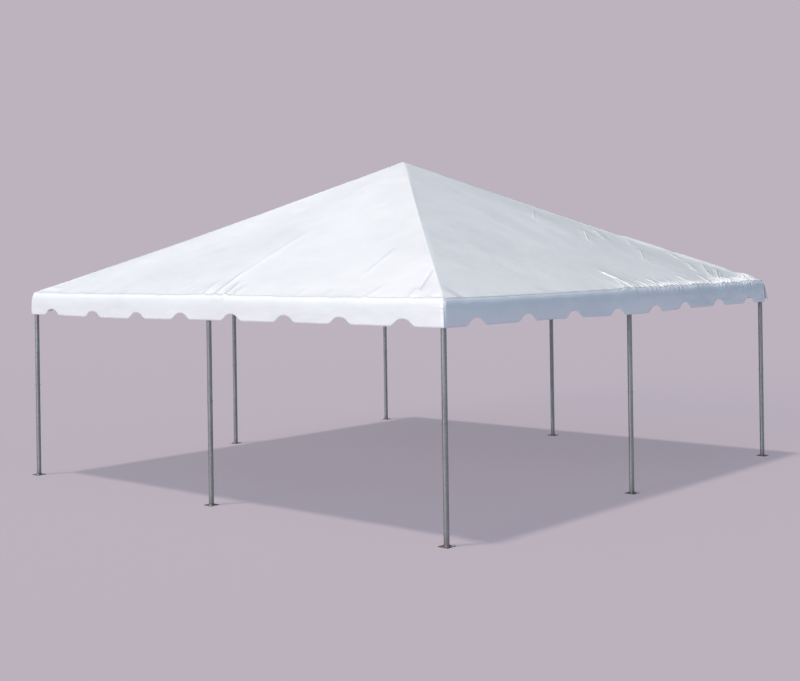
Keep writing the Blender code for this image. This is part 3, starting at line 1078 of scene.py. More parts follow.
    def puckers(self, at: Spots) -> Array:
        """Short wrinkles that rise from the eave, and close teeth where it is gathered.

        Args:
            at: Places on one panel.

        Returns:
            The rise at each place.
        """
        up = self.bones.bay - at.s
        to_leg = np.minimum(np.abs(at.a), np.abs(np.abs(at.a) - self.bones.bay))
        size = self.pucker + self.leg_pucker * bell(to_leg, 0.4)
        fade = np.exp(-np.maximum(up, 0) / self.pucker_fade)
        step = 11 * at.side.number
        waves = soft_noise(at.a * 9 + step, up * 3 + step, self.seed + 2)
        teeth = soft_noise(at.a * 9.5 + step, up * 6 + step, self.seed + 3)
        close = self.tooth * self.gathered(at) * (1 - 2.2 * np.abs(teeth))
        if at.side is Side.RIGHT:
            close = close + self.tucks(at.a, up)
        return size * fade * (1 - 2.4 * np.abs(waves)) + close

    def tucks(self, a: Array, up: Array) -> Array:
        """The row of tucks across the right eave, beyond its middle leg.

        They are uneven waves along the eave, which get taller and longer towards the far
        corner. Up the slope they die away as a bell curve.

        Args:
            a: Distances along the eave.
            up: Plan distances from it up the slope.

        Returns:
            The rise at each place.
        """
        shake = 0.7 * soft_noise(a * 3, a * 0, self.seed + 5)
        shake = shake + 0.4 * soft_noise(a * 4, up * 12, self.tuck_seed)
        wave = 0.5 + 0.5 * np.cos(2 * np.pi * (a / self.tuck_spacing + shake))
        uneven = np.clip(0.85 + 0.6 * soft_noise(a * 5 + 4, up * 5, self.seed + 6), 0.35, 1)
        tall = self.tuck_height * smooth_step(0.1, 0.4, a)
        tall = tall + self.far_tuck_rise * smooth_step(1.6, 2.1, a)
        reach = self.tuck_reach + self.far_tuck_reach * smooth_step(1.8, 2.2, a)
        return tall * wave * uneven * bell(np.maximum(up, 0), reach)

    def hip_lift(self, at: Spots) -> Array:
        """How far the cover stands clear of its hips.

        On the far right hip it is bunched up along the lower half, with one dent, and more
        next to the corner. The other hips only have slow swells.

        Args:
            at: Places on one panel.

        Returns:
            The rise at each place, which dies away from the hip as a bell curve.
        """
        turn = at.side.number
        hip = np.where(at.a >= 0, turn, (turn - 1) % 4)
        bunched = plateau(*self.bunch_span, at.s)
        dent = 1 - 0.7 * bell(at.s - self.dent_at, 0.045)
        swell = self.swell * np.maximum(soft_noise(at.s * 2.6, hip * 7.0, self.seed + 4), 0)
        puff = self.puff * plateau(*self.puff_span, at.s)
        lift = np.where(hip == Side.RIGHT.number, self.bunch * bunched * dent + puff, swell)
        return lift * bell(at.hip, 0.07)

    def ridge(self, at: Spots) -> Array:
        """How far the sheet lies below the line where two flat panels would meet at a hip.

        It bends round the hip rafter. With R the stand-off square to the panels, b half the
        turn between them and p the plan distance from the hip, where p is less than
        R sin b the drop is R / cos b - p tan b - sqrt(R^2 - p^2) square to the hip.

        Args:
            at: Places on one panel.

        Returns:
            The drop at each place.
        """
        slope = self.bones.slope
        half = math.acos(math.cos(slope) ** 2) / 2
        radius = self.stand_off(at) * math.cos(slope)
        p = np.minimum(at.hip, radius * math.sin(half))
        drop = radius / math.cos(half) - p * math.tan(half) - np.sqrt(radius**2 - p**2)
        return drop / math.cos(math.atan(math.tan(slope) / math.sqrt(2)))

    def creases(self, at: Spots) -> tuple[Array, Array]:
        """The sharp line of the nearest fold at each place, for the finish to draw.

        Args:
            at: Places on one panel.

        Returns:
            The signed distance from the line in line widths, and the line's strength. The
            strength is 0 far from the line and half way to the next one, so that nothing
            shows where the nearest fold changes.
        """
        found = [fold for fold in self.folds if fold.side is at.side]
        across, fade = (np.stack(rows) for rows in zip(*(fold.where(at) for fold in found)))
        across = across / self.line_width
        far = np.abs(across) + 8 * (1 - fade)
        first, second = np.sort(far, axis=0)[:2]
        pick = far.argmin(axis=0)[None]
        drawn = np.array([fold.line * min(abs(fold.height) / 0.008, 1.2) for fold in found])
        strength = np.take_along_axis(fade, pick, 0)[0] * drawn[pick[0]]
        clear = np.clip((second - first) / 1.5, 0, 1) * np.clip((4.5 - first) / 1.5, 0, 1)
        return np.take_along_axis(across, pick, 0)[0], strength * clear

    def slope_rings(self) -> list[tuple[float, int]]:
        """The rings up the slope, from the eave to the peak.

        Returns:
            Each ring as (s, columns skipped). Rings lie closer at the eave, and the columns
            halve as the rings get shorter.
        """
        top, (first, second, third) = self.bones.bay, self.halvings
        parts = [
            (top - 0.009 - (top - first) * np.linspace(0, 1, 47)[:-1] ** 1.3, 1),
            (np.linspace(first, second, 19)[:-1], 2),
            (np.linspace(second, third, 12)[:-1], 4),
            (np.linspace(third, 0.015, 16), 8),
        ]
        return [(float(s), skip) for values, skip in parts for s in values]

    def height(self, at: Spots) -> Array:
        """Height of the cover's underside on the slope or on the peak.

        Up to peak_blend it is a circle's arc about an axis below the peak, and beyond it the
        straight slope with its stand-off and drape.

        Args:
            at: Places on one panel.

        Returns:
            The height at each place.
        """
        bones = self.bones
        fall = math.tan(bones.slope)
        radius = self.peak_blend / math.sin(bones.slope)
        lift = self.rest + self.fitting_rise
        centre = bones.crown_z + lift - fall * self.peak_blend - radius * math.cos(bones.slope)
        arc = centre + np.sqrt(radius**2 - np.minimum(at.s, self.peak_blend) ** 2)
        straight = bones.crown_z - fall * at.s + self.stand_off(at) + self.drape(at)
        straight = straight + self.hip_lift(at)
        blend = smooth_step(self.peak_blend, 3 * self.peak_blend, at.s)
        return np.where(at.s < self.peak_blend, arc, straight - blend * self.ridge(at))

    def roll_place(
        self, side: Side, a: Array, angle: float, gap: float = 0.0
    ) -> tuple[Array, Array]:
        """Where the cover lies on its turn round an eave tube.

        Args:
            side: The side of the tent.
            a: Places along the eave.
            angle: Angle on the turn from the vertical, up to a right angle.
            gap: Distance from the cover's underside, outwards.

        Returns:
            The plan reach from the tent's middle and the height: the tube's axis plus the
            stand-off at that angle, moved by the drape at the eave.
        """
        bones = self.bones
        at = Spots(side, np.clip(a, -bones.bay, bones.bay), np.full_like(a, bones.bay))
        radius = self.stand_off(at) * math.cos(bones.slope) + gap
        lean = (angle - bones.slope) / (math.pi / 2 - bones.slope) * math.pi / 2
        pucker = self.drape(at) * max(math.cos(lean), 0.0) ** 1.5
        reach = bones.bay + radius * math.sin(angle) + pucker * math.sin(lean)
        return reach, bones.eave_z + radius * math.cos(angle) + pucker * math.cos(lean)

    def rows(self, at: Spots, points: Array, stitch: Array) -> Array:
        """One row a column of a ring: its point, then the finish's values as in MARKS."""
        marks = np.stack([*self.creases(at), self.gathered(at), at.hip, stitch], axis=-1)
        return np.concatenate([points, marks], axis=1)

    def eave_ring(self, side: Side, angle: float, drop: float) -> Array:
        """One ring on the turn round the eave tube, or on the rim below it.

        Args:
            side: The side of the tent.
            angle: Angle on the turn from the vertical.
            drop: How far the ring hangs below its place on the turn.

        Returns:
            The ring's rows.
        """
        bay, slope = self.bones.bay, self.bones.slope
        at = self.spots(side, bay, 1)
        reach, height = self.roll_place(side, at.a, angle)
        corner = np.sign(at.a) * (reach - bay) * (np.abs(at.a) / bay) ** 40
        radius = self.corner_round * (angle - slope) / (math.pi / 2 - slope)
        along, out = round_corner(at.a + corner, reach, radius + 1e-5)
        stitch = (angle - self.seam_angle) * (reach - bay) / math.sin(angle) + drop
        return self.rows(at, side.points(along, out, height - drop), stitch)

    def slope_ring(self, side: Side, s: float, skip: int) -> Array:
        """One ring on the slope, at the cover's height there.

        Args:
            side: The side of the tent.
            s: The ring's plan distance from the crown.
            skip: It has every skip-th of the side's columns.

        Returns:
            The ring's rows.
        """
        at = self.spots(side, s, skip)
        stitch = np.full_like(at.a, (s - self.bones.bay - 0.015) / math.cos(self.bones.slope))
        return self.rows(at, side.points(at.a, at.s, self.height(at)), stitch)

    def rings(self) -> list[list[Array]]:
        """Every ring from the rim to the last one below the peak.

        Returns:
            Each ring as one array of rows a side, of which the last is the next side's first.
        """
        turns = [(math.pi / 2, self.rim_drop), (math.pi / 2, self.rim_drop / 2)]
        angles = np.linspace(math.pi / 2, self.bones.slope, self.roll_steps)
        turns += [(float(angle), 0.0) for angle in angles]
        made = [[self.eave_ring(side, *turn) for side in Side] for turn in turns]
        return made + [[self.slope_ring(side, *ring) for side in Side] for ring in self.slope_rings()]

    def shape(self) -> tuple[Shape, Array]:
        """Stitches the rings into one sheet that is closed at the hips and at the peak.

        Neighbouring rings share quads, or triangles where the columns halve. The flat
        coordinates are the distance along the eave and the distance up the slope.

        Returns:
            The sheet, and the finish's values with one row a vertex.
        """
        rings = self.rings()
        starts = np.cumsum([0] + [sum(len(part) - 1 for part in ring) for ring in rings])
        rows = [part[:-1] for ring in rings for part in ring]
        peak = np.zeros((1, rows[0].shape[1]))
        peak[0, 2] = self.height(Spots(Side.FRONT, np.zeros(1), np.zeros(1)))[0]
        peak[0, -1] = rings[-1][0][0, -1]
        table = np.concatenate([*rows, peak])
        middles = [ring[0][len(ring[0]) // 2, :3] for ring in rings] + [peak[0, :3]]
        steps = [np.linalg.norm(above - below) for below, above in zip(middles, middles[1:])]
        ups = np.cumsum([0.0] + steps)

        def strip(i: int, side: Side) -> Array:
            """One side of a ring.

            Args:
                i: The ring's place in the list.
                side: The side of the tent.

            Returns:
                Rows of vertex number and flat coordinates.
            """
            sizes = [len(part) - 1 for part in rings[i]]
            whole = sum(sizes[: side.number]) + np.arange(sizes[side.number] + 1)
            along = rings[i][side.number][:, :3] @ side.along
            return np.stack([starts[i] + whole % sum(sizes), along, np.full_like(along, ups[i])], -1)

        blocks = []
        for i in range(len(rings)):
            for side in Side:
                low = strip(i, side)
                if i + 1 == len(rings):
                    tip = np.full_like(low[1:], ups[-1])
                    tip[:, 0] = starts[-1]
                    blocks.append([low[:-1], low[1:], tip])
                    continue
                high = strip(i + 1, side)
                left, right = high[:-1], high[1:]
                if len(low) == len(high):
                    blocks.append([low[:-1], low[1:], right, left])
                else:
                    first, mid, last = low[:-1:2], low[1::2], low[2::2]
                    blocks += [[first, mid, left], [mid, right, left], [mid, last, right]]
        kinds = [
            np.concatenate([np.stack(block, 1) for block in blocks if len(block) == corners])
            for corners in (4, 3)
        ]
        faces = [kind[..., 0].astype(int) for kind in kinds]
        return Shape(table[:, :3], faces, [kind[..., 1:] for kind in kinds]), table[:, 3:]

    def build(self, vinyl: Material) -> None:
        """Makes the cover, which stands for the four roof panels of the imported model.

        Args:
            vinyl: Its finish.
        """
        shape, marks = self.shape()
        piece = make_sheet("cover", shape, vinyl, marks, self.thickness)
        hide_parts(*[f"roof_panel_{side.label}" for side in Side])
        rests = [f"hip_rafter_{corner}" for corner in CORNERS]
        rests += [f"side_rafter_{side.label}" for side in Side]


@dataclass(frozen=True)
class ValanceEnd:
    """How one end of a valance hangs at its corner."""

    reach: float = -0.001  # how far it runs past the corner's diagonal, or stops short of it
    flare: float = 0.004  # how far its foot swings out
    # the finish lightens this hem strip: two layers of vinyl, and also a painted highlight
    hem: float = 0.0  # width of the doubled strip at the end


@dataclass(frozen=True)
class Valance:
    """A strip of vinyl that hangs from one eave, with scallop notches in its lower edge."""

    bones: Skeleton  # the frame's sizes
    cover: Cover  # the cover that it is sewn to
    side: Side  # its side of the tent
    start: ValanceEnd  # its left end, as seen from outside
    end: ValanceEnd  # its right end
    shifts: tuple[float, ...] = (0.0,) * 8  # how far each notch sits right of its even place
    slack: tuple[float, float] = (0.0, 0.0)  # where its foot hangs lower, and by how much
    slack_width: float = 0.9  # of that stretch
    past_bay: float = 0.045  # how far the strip runs past the corner legs' centres
    leave: float = math.radians(35)  # angle below the level at which it leaves the cover
    turn_length: float = 0.0345  # length over which most of its turn dies away
    gap: float = 0.0012  # between the cover's underside and its top edge
    thickness: float = 0.0009  # of the vinyl
    notch_width: float = 0.3
    notch_height: float = 0.07
    notch_flare: float = 0.05  # width of the flare at each foot of a notch
    rows: int = 11  # of the upper part, and of the lower part
    upper_length: float = 0.1  # of the upper part
    corner_round: float = 0.035  # radius of the corners in plan
    wave: float = 0.007  # height of its slow waves
    dent: float = 0.0012  # height of its shallow dents
    flare_length: float = 0.13  # length along it over which an end's flare dies away
    wrinkle: float = 0.0035  # height of the level wrinkles at the front corner
    wrinkle_z: float = 2.05  # how high up they are
    wrinkle_step: float = 0.03  # from one to the next
    tuck_window: float = 0.09  # reach of the even line over the tucks of the cover
    tuck_blend: float = 0.08  # width of that line's average
    tuck_fade: float = 0.025  # length over which the tucks die away down the strip
    seed: int = 21  # of its waves

    @property
    def middles(self) -> Array:
        """The notches' middles."""
        return (np.arange(8) - 3.5) * self.bones.bay / 4 + np.array(self.shifts)

    @property
    def half(self) -> float:
        """Half the strip's length."""
        return self.bones.bay + self.past_bay

    def notch(self, x: Array) -> Array:
        """How far the lower edge rises.

        In the crown of a notch the edge is a flattened arch. At its foot it flares out as a
        power curve, and between notches it is straight.

        Args:
            x: Places along the edge.

        Returns:
            The rise at each place.
        """
        near = np.abs(x[:, None] - self.middles).min(axis=1)
        half = self.notch_width / 2
        crown = half - self.notch_flare
        arch = 1 - np.sqrt(1 - 0.75 * np.minimum(near / crown, 1) ** 2)
        inner = self.notch_height * (1 - 0.62 * arch / 0.5)
        foot = 0.38 * self.notch_height * (np.clip(half - near, 0, None) / self.notch_flare) ** 1.4
        return np.where(near <= crown, inner, foot)

    def columns(self) -> Array:
        """Places along the strip: even steps, with close ones round every notch and corner.

        Returns:
            The places, from the left end to the right end.
        """
        end, half = self.half, self.notch_width / 2
        corner = end - 0.004 * np.arange(12)
        places = [np.linspace(-end, end, 190), corner, -corner]
        for reach, steps in ((half, 27), (half - self.notch_flare, 15)):
            near = reach * np.sin(np.linspace(-np.pi / 2, np.pi / 2, steps))
            places += list(self.middles[:, None] + near)
        found = np.unique(np.round(np.concatenate(places), 3))
        return np.concatenate([[-end], found[np.abs(found) < end - 0.002], [end]])

    def profile(self, length: Array) -> tuple[Array, Array]:
        """How far out and how far down the strip has come.

        It leaves the cover at the angle leave, and what is left of its turn to the vertical
        dies away as exp(-length / turn_length).

        Args:
            length: Distances from its top edge.

        Returns:
            How far out and how far down it is at each of them.
        """
        fine = np.linspace(0, 0.4, 801)
        left = (math.pi / 2 - self.leave) * np.exp(-(fine[1:] + fine[:-1]) / 2 / self.turn_length)
        out, down = (np.concatenate([[0], np.cumsum(part)]) for part in (np.sin(left), np.cos(left)))
        return np.interp(length, fine, out * fine[1]), np.interp(length, fine, down * fine[1])

    def swing(self, a: Array, down: Array) -> Array:
        """How far the strip stands out from its even hang.

        Args:
            a: Places along the strip.
            down: The share of the way from its top to its foot.

        Returns:
            The sum of slow waves that grow downwards, of the flares at both ends, and of
            shallow dents. It is held back where a leg stands behind it.
        """
        bay = self.bones.bay
        step = 17.0 * self.side.number
        slow = soft_noise(a * 1.25 + step, down * 0.6 + step, self.seed)
        quick = soft_noise(a * 3.4 + step, down * 1.2 + step, self.seed + 1)
        dents = soft_noise(a * 9 + step, down * 3.2 + step, self.seed + 2)
        out = self.wave * slow * down**1.2 + 0.35 * self.wave * quick * down
        out = out + self.dent * dents * np.sin(np.pi * down) ** 0.5
        for end, gap in ((self.start, a + self.half), (self.end, self.half - a)):
            fade = np.exp(-np.maximum(gap, 0) / self.flare_length)
            out = out + end.flare * fade * down**1.3
        to_leg = np.minimum(np.abs(a), np.abs(np.abs(a) - bay))
        return np.maximum(out, -0.004 - 0.02 * smooth_step(0.05, 0.3, to_leg))

    def corner_puckers(self, a: Array, z: Array) -> Array:
        """Small level wrinkles at the front corner, where the vinyl is pulled round the tube.

        Args:
            a: Places along the strip.
            z: Their heights.

        Returns:
            How far they stand out.
        """
        if self.side is not Side.FRONT:
            return np.zeros_like(a)
        close = np.exp(-(np.maximum(self.bones.bay + 0.034 - a, 0) / 0.045))
        band = bell(z - self.wrinkle_z, 0.035)
        return self.wrinkle * close * band * np.sin(2 * np.pi * z / self.wrinkle_step)

    def top_edge(self, a: Array) -> tuple[Array, Array, Array]:
        """The sewn edge, which follows the cover's tucks.

        Args:
            a: Places along the strip.

        Returns:
            The edge's reach from the tent's middle, the even line that takes in the tucks
            within tuck_window, and the edge's height.
        """
        reach, height = self.cover.roll_place(self.side, a, self.cover.seam_angle, self.gap)
        apart = np.abs(a[:, None] - a)
        widest = np.where(apart < self.tuck_window, reach, 0.0).max(axis=1)
        weight = bell(apart, self.tuck_blend)
        return reach, weight @ widest / weight.sum(axis=1), height

    def surface(self) -> tuple[Shape, Array, float]:
        """Hangs the strip: close rows where it turns down, then even ones to its foot.

        Returns:
            The sheet, the finish's values with one row a vertex, and its mean drop.
        """
        bones, end = self.bones, self.half
        a = self.columns()
        edge, even, top = self.top_edge(a)
        lengths = self.upper_length * np.linspace(0, 1, self.rows)[:, None] ** 1.4
        upper = top - self.profile(lengths)[1]
        hang = self.slack[1] * bell(a - self.slack[0], self.slack_width)
        foot = bones.valance_low + self.notch(a) - hang
        share = np.linspace(0, 1, self.rows + 1)[1:, None]
        lower = upper[-1] + (foot - upper[-1]) * share
        z = np.concatenate([upper, lower])[::-1]
        gone = np.concatenate([lengths + 0 * a, self.upper_length + upper[-1] - lower])[::-1]
        across = np.repeat(a[None, :], len(z), axis=0)
        fall = np.clip((top - z) / (top - bones.valance_low), 0, 1)
        reach = even + (edge - even) * np.exp(-gone / self.tuck_fade)
        reach = reach + self.profile(gone)[0] + self.swing(across, fall)
        reach = reach + self.corner_puckers(across, z)
        stop = np.where(a > 0, self.end.reach, self.start.reach)
        pull = np.clip(1 - (end - np.abs(a)) / 0.15, 0, 1)
        mitred = across + np.sign(a) * (reach + stop - end) * pull
        points = self.side.points(*round_corner(mitred, reach, self.corner_round), z)
        # the distance from a lapped end's hem, which the finish lightens also as a painted highlight
        hem = np.minimum(
            np.where(self.start.hem > 0, across + end - self.start.hem, 1.0),
            np.where(self.end.hem > 0, end - self.end.hem - across, 1.0),
        )
        none = np.zeros_like(across)
        marks = np.stack([none, none, 0.4 * np.exp(-gone / 0.03), np.maximum(hem, 0), gone], -1)
        drop = self.upper_length + float(np.mean(upper[-1])) - bones.valance_low
        shape = sheet_grid(points, np.stack([across, z], axis=-1))
        return shape, marks.reshape(-1, len(MARKS)), drop

    def build(self, vinyl: Material) -> None:
        """Makes the strip, which stands for this side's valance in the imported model.

        Args:
            vinyl: Its finish.
        """
        shape, marks, drop = self.surface()
        name = f"valance_cloth_{self.side.label}"
        piece = make_sheet(name, shape, vinyl, marks, self.thickness)
        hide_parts(f"valance_{self.side.label}")


@dataclass(frozen=True)
class Fasteners:
    """The small metal parts: set screws on the sockets, buttons, welds and anchor pins."""

    bones: Skeleton  # the frame's sizes
    screw_along: float = 0.118  # distance of an eave fitting's set screws from its centre
    hip_screw_more: float = 0.045  # how much further those on the hip sockets are
    crown_screw_along: float = 0.212  # the same distance for the crown fitting
    across_flats: float = 0.017  # size of the screws' hexagon nuts
    head_flats: float = 0.016  # size of their heads
    boss_height: float = 0.008  # of the nuts
    shank_radius: float = 0.0049
    shank_seen: float = 0.0022  # of the shank between nut and head
    head_height: float = 0.0064
    button_radius: float = 0.0042
    button_height: float = 0.035  # of the buttons over the leg joints
    leg_joint: float = 1.048  # height of the leg joints
    bead: float = 0.0026  # radius of the weld beads
    hole_offset: float = 0.0395  # of the base plates' holes from the leg's axis
    pin_radius: float = 0.0076
    pin_head: float = 0.0125  # radius of the pins' heads

    @property
    def legs(self) -> Array:
        """Plan places of the four corner legs and the four side legs, with height 0."""
        plan = [*CORNERS.values(), *(side.value for side in Side)]
        return self.bones.bay * np.array([(*place, 0.0) for place in plan])

    def hexagon(self, low: float, high: float, across: float, chamfer: float) -> Shape:
        """A hexagonal prism with its top rim chamfered.

        Args:
            low: Height of its foot.
            high: Height of its top.
            across: Size over its flats.
            chamfer: Height of the chamfer.

        Returns:
            The closed shape.
        """
        radius = across / math.sqrt(3)
        rim = [(radius, high - chamfer), (radius - 1.6 * chamfer, high), (0, high)]
        return turned([(0, low), (radius, low), *rim], 6)

    def set_screw(self) -> Shape:
        """A nut welded to a socket, the shank of the screw in it, and its hexagon head.

        Returns:
            The three, pointing up from the socket.
        """
        nut = self.hexagon(-0.002, self.boss_height, self.across_flats, 0.0008)
        seat = self.boss_height + self.shank_seen
        low, high, radius = self.boss_height - 0.001, seat + 0.001, self.shank_radius
        shank = turned([(0, low), (radius, low), (radius, high), (0, high)], 20)
        return joined([nut, shank, self.hexagon(seat, seat + self.head_height, self.head_flats, 0.001)])

    def screw_places(self) -> Array:
        """Where every set screw sits, worked out from the fittings' arms.

        A leg socket has its screw on the inside, an eave socket low on the inside, and a
        rafter socket underneath.

        Returns:
            Matrices that put a screw on its socket, pointing out of it.
        """
        bones = self.bones
        places, axes = [], []

        def add(centre: Array, arm: Array, out: Array, along: float) -> None:
            """Notes one screw.

            Args:
                centre: The fitting's centre.
                arm: The direction of the socket that it sits on.
                out: The direction that it faces, made square to the arm.
                along: How far along the arm it sits.
            """
            out = out - arm * (out @ arm)
            out = out / np.linalg.norm(out)
            places.append(centre + arm * along + out * (bones.tube + SOCKET_WALL))
            axes.append(out)

        crown = np.array([0, 0, bones.crown_z])
        for leg in self.legs:
            at_corner = leg[:2].all()
            centre = leg + UP * bones.eave_z
            inward = -leg / np.linalg.norm(leg)
            rafter = (crown - centre) / np.linalg.norm(crown - centre)
            add(centre, -UP, inward, self.screw_along)
            more = self.hip_screw_more if at_corner else 0.0
            add(centre, rafter, -UP, self.screw_along + more)
            add(crown, -rafter, -UP, self.crown_screw_along)
            for axis in np.eye(3)[:2]:
                for arm in (axis, -axis):
                    reach, half = leg @ arm, bones.bay / 2
                    has_tube = reach < -half if at_corner else abs(reach) < half
                    if has_tube:
                        add(centre, arm, inward * 0.8 - UP, self.screw_along)
        return frames_at(np.array(places), np.array(axes))

    def button(self) -> Shape:
        """A spring button: a low dome on a short stem."""
        top = dome(self.button_radius, 0.0012, 0.0022, 6)
        return turned([(0, -0.002), (self.button_radius, -0.002), *top], 24)

    def pin(self) -> Shape:
        """An anchor pin through a base plate: a shank, and a domed head that rests on it.

        Returns:
            The pin, with the floor at height 0.
        """
        seat, radius = PLATE_THICK + 0.0002, self.pin_radius
        shank = [(0, 0.0006), (radius - 0.0008, 0.0006), (radius, 0.002), (radius, seat)]
        head = dome(self.pin_head, PLATE_THICK + 0.0035, 0.006, 7)
        return turned([*shank, (self.pin_head, seat), *head], 28)

    def build(self, plated: Material, steel: Material) -> None:
        """Makes each kind of fastener as one piece.

        Args:
            plated: The finish of screws, buttons and pins.
            steel: The finish of the welds.
        """
        legs, upright = self.legs, np.tile(UP, (8, 1))
        facing = legs / np.linalg.norm(legs, axis=1)[:, None]
        stems = legs + facing * self.bones.tube + UP * (self.leg_joint + self.button_height)
        holes = np.roll(list(CORNERS.values()), -1, axis=0) * self.hole_offset
        pins = legs + np.tile(np.pad(holes, ((0, 0), (0, 1))), (2, 1))
        feet = legs + UP * (PLATE_THICK + 0.0004)
        bead = bead_ring(self.bones.tube + 0.0012, self.bead)
        pieces = (
            ("socket_screws", self.set_screw(), self.screw_places(), plated),
            ("leg_buttons", self.button(), frames_at(stems, facing), plated),
            ("foot_welds", bead, frames_at(feet, upright), steel),
            ("anchor_pins", self.pin(), frames_at(pins, upright), plated),
        )
        for name, shape, frames, finish in pieces:
            make_piece(name, shape.moved(frames), finish)


@dataclass(frozen=True)
class Lamp:
    """A distant lamp that shines from one direction."""

    name: str
    source: tuple[float, float, float]  # the direction that its light comes from
    strength: float  # the light on a surface square to it, in watts a square metre
    angle: float  # how wide it looks from the tent, in degrees
    colour: Colour = (1.0, 0.93, 0.8)

    def build(self) -> None:
        """Puts the lamp into the scene."""
        light = bpy.data.lights.new(self.name, "SUN")
        light.color = self.colour
        light.energy = self.strength
        light.angle = math.radians(self.angle)
        turn = Vector(self.source).to_track_quat("Z", "Y")
        new_object(self.name, light).rotation_euler = turn.to_euler()


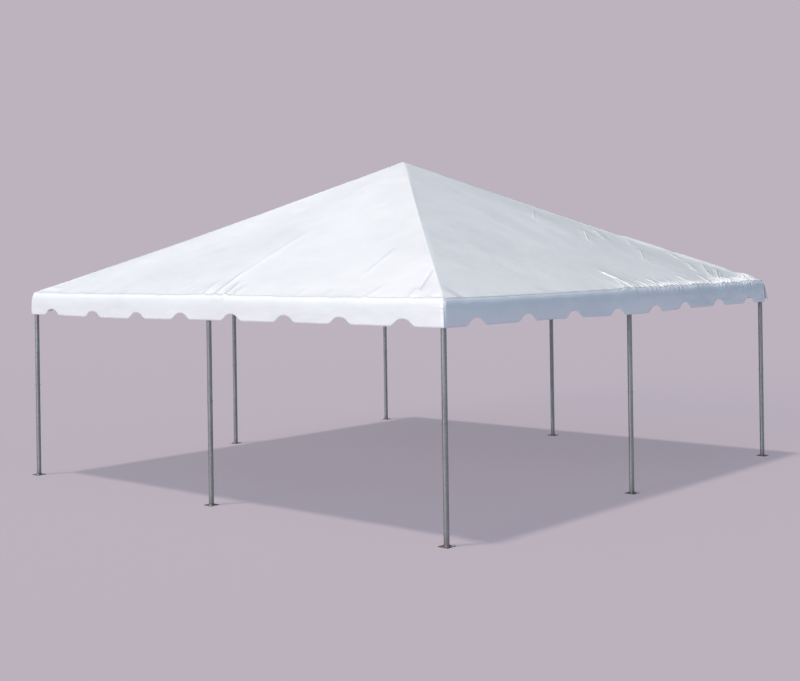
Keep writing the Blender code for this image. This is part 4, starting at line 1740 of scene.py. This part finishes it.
@dataclass(frozen=True)
class Studio:
    """The plain floor, the lights and the camera."""

    eye: tuple[float, float, float] = (9.952, -11.555, 2.494)  # the camera's place
    yaw: float = 40.954  # its heading, anticlockwise from +Y, in degrees
    pitch: float = 0.108  # its tilt up, in degrees
    roll: float = -0.841  # its turn about its own axis, in degrees
    focal_px: float = 1282.1  # its focal length in pixels of the photograph
    centre_y_px: float = 252.9  # the photograph's row on the camera's axis
    width_px: float = 800.0  # the photograph's width
    height_px: float = 681.0  # the photograph's height
    sensor: float = 36.0  # width of the camera's sensor, in millimetres
    see_to: float = 400.0  # how far the camera sees
    lamps: tuple[Lamp, ...] = (
        Lamp("key", (-0.11, -0.2, 1.0), 2.4, 5.0),
        Lamp("front", (-0.02, -0.95, 0.3), 1.52, 24.0),
        Lamp("fill", (1.0, 0.2, 0.12), 0.35, 60.0, (0.0, 0.7, 1.0)),
    )
    horizon: Colour = (0.19, 0.34, 0.46)  # the sky's colour low down
    zenith: Colour = (0.42, 0.46, 0.62)  # its colour overhead
    gains: tuple[float, float] = (1.45, 0.28)  # its strength in front and behind
    floor_radius: float = 150.0

    def floor(self) -> None:
        """Lays a flat disc, made of rings about the origin that widen outwards."""
        radius = self.floor_radius * np.linspace(0, 1, 40)[:0:-1] ** 2
        rings = ring_points(radius, 0 * radius, 96)
        number = np.arange(rings[..., 0].size).reshape(rings.shape[:2])
        points = np.concatenate([rings.reshape(-1, 3), np.zeros((1, 3))])
        faces = ring_quads(number).tolist() + fan(number[-1], number.size, True).tolist()
        mesh = bpy.data.meshes.new("studio_floor")
        mesh.from_pydata(points.tolist(), [], faces)
        mesh.materials.append(StudioFloor().material())
        new_object("studio_floor", mesh)

    def sky(self) -> None:
        """Sets a soft sky for the light, and the even backdrop for what the camera sees."""
        world = bpy.data.worlds.new("studio")
        board = NodeBoard(world, "Background")
        direction = board.node("ShaderNodeTexCoord").outputs["Generated"]
        split = board.node("ShaderNodeSeparateXYZ", direction)
        rise = board.spread(split.outputs["Z"], 0.0, 0.7, (0.0, 1.0))
        gain = board.spread(split.outputs["Y"], -1.0, 1.0, self.gains)
        board.feed(color=board.blend(rise, self.horizon, self.zenith), strength=gain)
        backdrop = board.node("ShaderNodeBackground", (*StudioFloor().colour, 1.0))
        seen = board.node("ShaderNodeLightPath").outputs["Is Camera Ray"]
        lit, shown = board.shader.outputs[0], backdrop.outputs[0]
        either = board.node("ShaderNodeMixShader", seen, lit, shown)
        board.link(either.outputs[0], board.tree.nodes["World Output"].inputs["Surface"])
        bpy.context.scene.world = world

    def camera(self) -> None:
        """Sets a camera with the photograph's place, heading and framing."""
        yaw, pitch, roll = (math.radians(v) for v in (self.yaw, self.pitch, self.roll))
        run = math.cos(pitch)
        ahead = Vector((-math.sin(yaw) * run, math.cos(yaw) * run, math.sin(pitch)))
        level = Vector((math.cos(yaw), math.sin(yaw), 0.0))
        above = level.cross(ahead)
        right = level * math.cos(roll) + above * math.sin(roll)
        lens = bpy.data.cameras.new("camera")
        lens.sensor_width = self.sensor
        lens.lens = self.focal_px * self.sensor / self.width_px
        lens.shift_y = (self.centre_y_px - self.height_px / 2) / self.width_px
        lens.clip_end = self.see_to
        turn = Matrix((right, right.cross(ahead), -ahead)).transposed().to_4x4()
        scene = bpy.context.scene
        scene.camera = new_object("camera", lens)
        scene.camera.matrix_world = Matrix.Translation(Vector(self.eye)) @ turn
        scene.view_settings.view_transform = "Standard"

    def build(self) -> None:
        """Sets up the whole studio."""
        self.camera()
        self.floor()
        self.sky()
        for lamp in self.lamps:
            lamp.build()


def finish_frame(steel: Material, cast: Material) -> None:
    """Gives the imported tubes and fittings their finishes.

    Args:
        steel: The tubes' finish.
        cast: The fittings' finish.
    """
    for name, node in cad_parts.items():
        if not name.startswith(("roof_panel", "valance")):
            node.data.materials.clear()
            node.data.materials.append(cast if "fitting" in name else steel)
    log.info("frame: %d nodes", len(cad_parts))


def main() -> None:
    """Builds the studio, then the tent's dress from the frame outwards."""
    Studio().build()
    bones = Skeleton.from_frame()
    log.info("bay %.4f, eave %.4f, crown %.4f", bones.bay, bones.eave_z, bones.crown_z)
    steel, cast = GalvanisedSteel().material(), CastFitting().material()
    vinyl, plated = WhiteVinyl().material(), PlatedSteel().material()
    finish_frame(steel, cast)
    cover = Cover(bones)
    cover.build(vinyl)
    # the lapped end's hem is painted lighter, partly as a highlight at the front right corner
    plain, flared, lapped = ValanceEnd(), ValanceEnd(0.004, 0.04), ValanceEnd(0.0012, 0.002, 0.035)
    valances = [
        Valance(bones, cover, Side.FRONT, plain, lapped,
                (-0.01, 0.0, 0.02, -0.01, 0.0, -0.01, -0.04, -0.04), (-1.5, 0.015)),
        Valance(bones, cover, Side.RIGHT, ValanceEnd(-0.0015, 0.001), ValanceEnd(-0.008, 0.004),
                (0.02, 0.04, 0.05, 0.08, 0.08, -0.05, -0.02, -0.02), (0.0, 0.018)),
        Valance(bones, cover, Side.BACK, flared, ValanceEnd(-0.001, 0.012), slack=(-2.8, -0.04)),
        Valance(bones, cover, Side.LEFT, plain, ValanceEnd(0.001, 0.002), slack=(2.8, -0.03)),
    ]
    for valance in valances:
        valance.build(vinyl)
    Fasteners(bones).build(plated, steel)


if __name__ == "__main__":
    main()
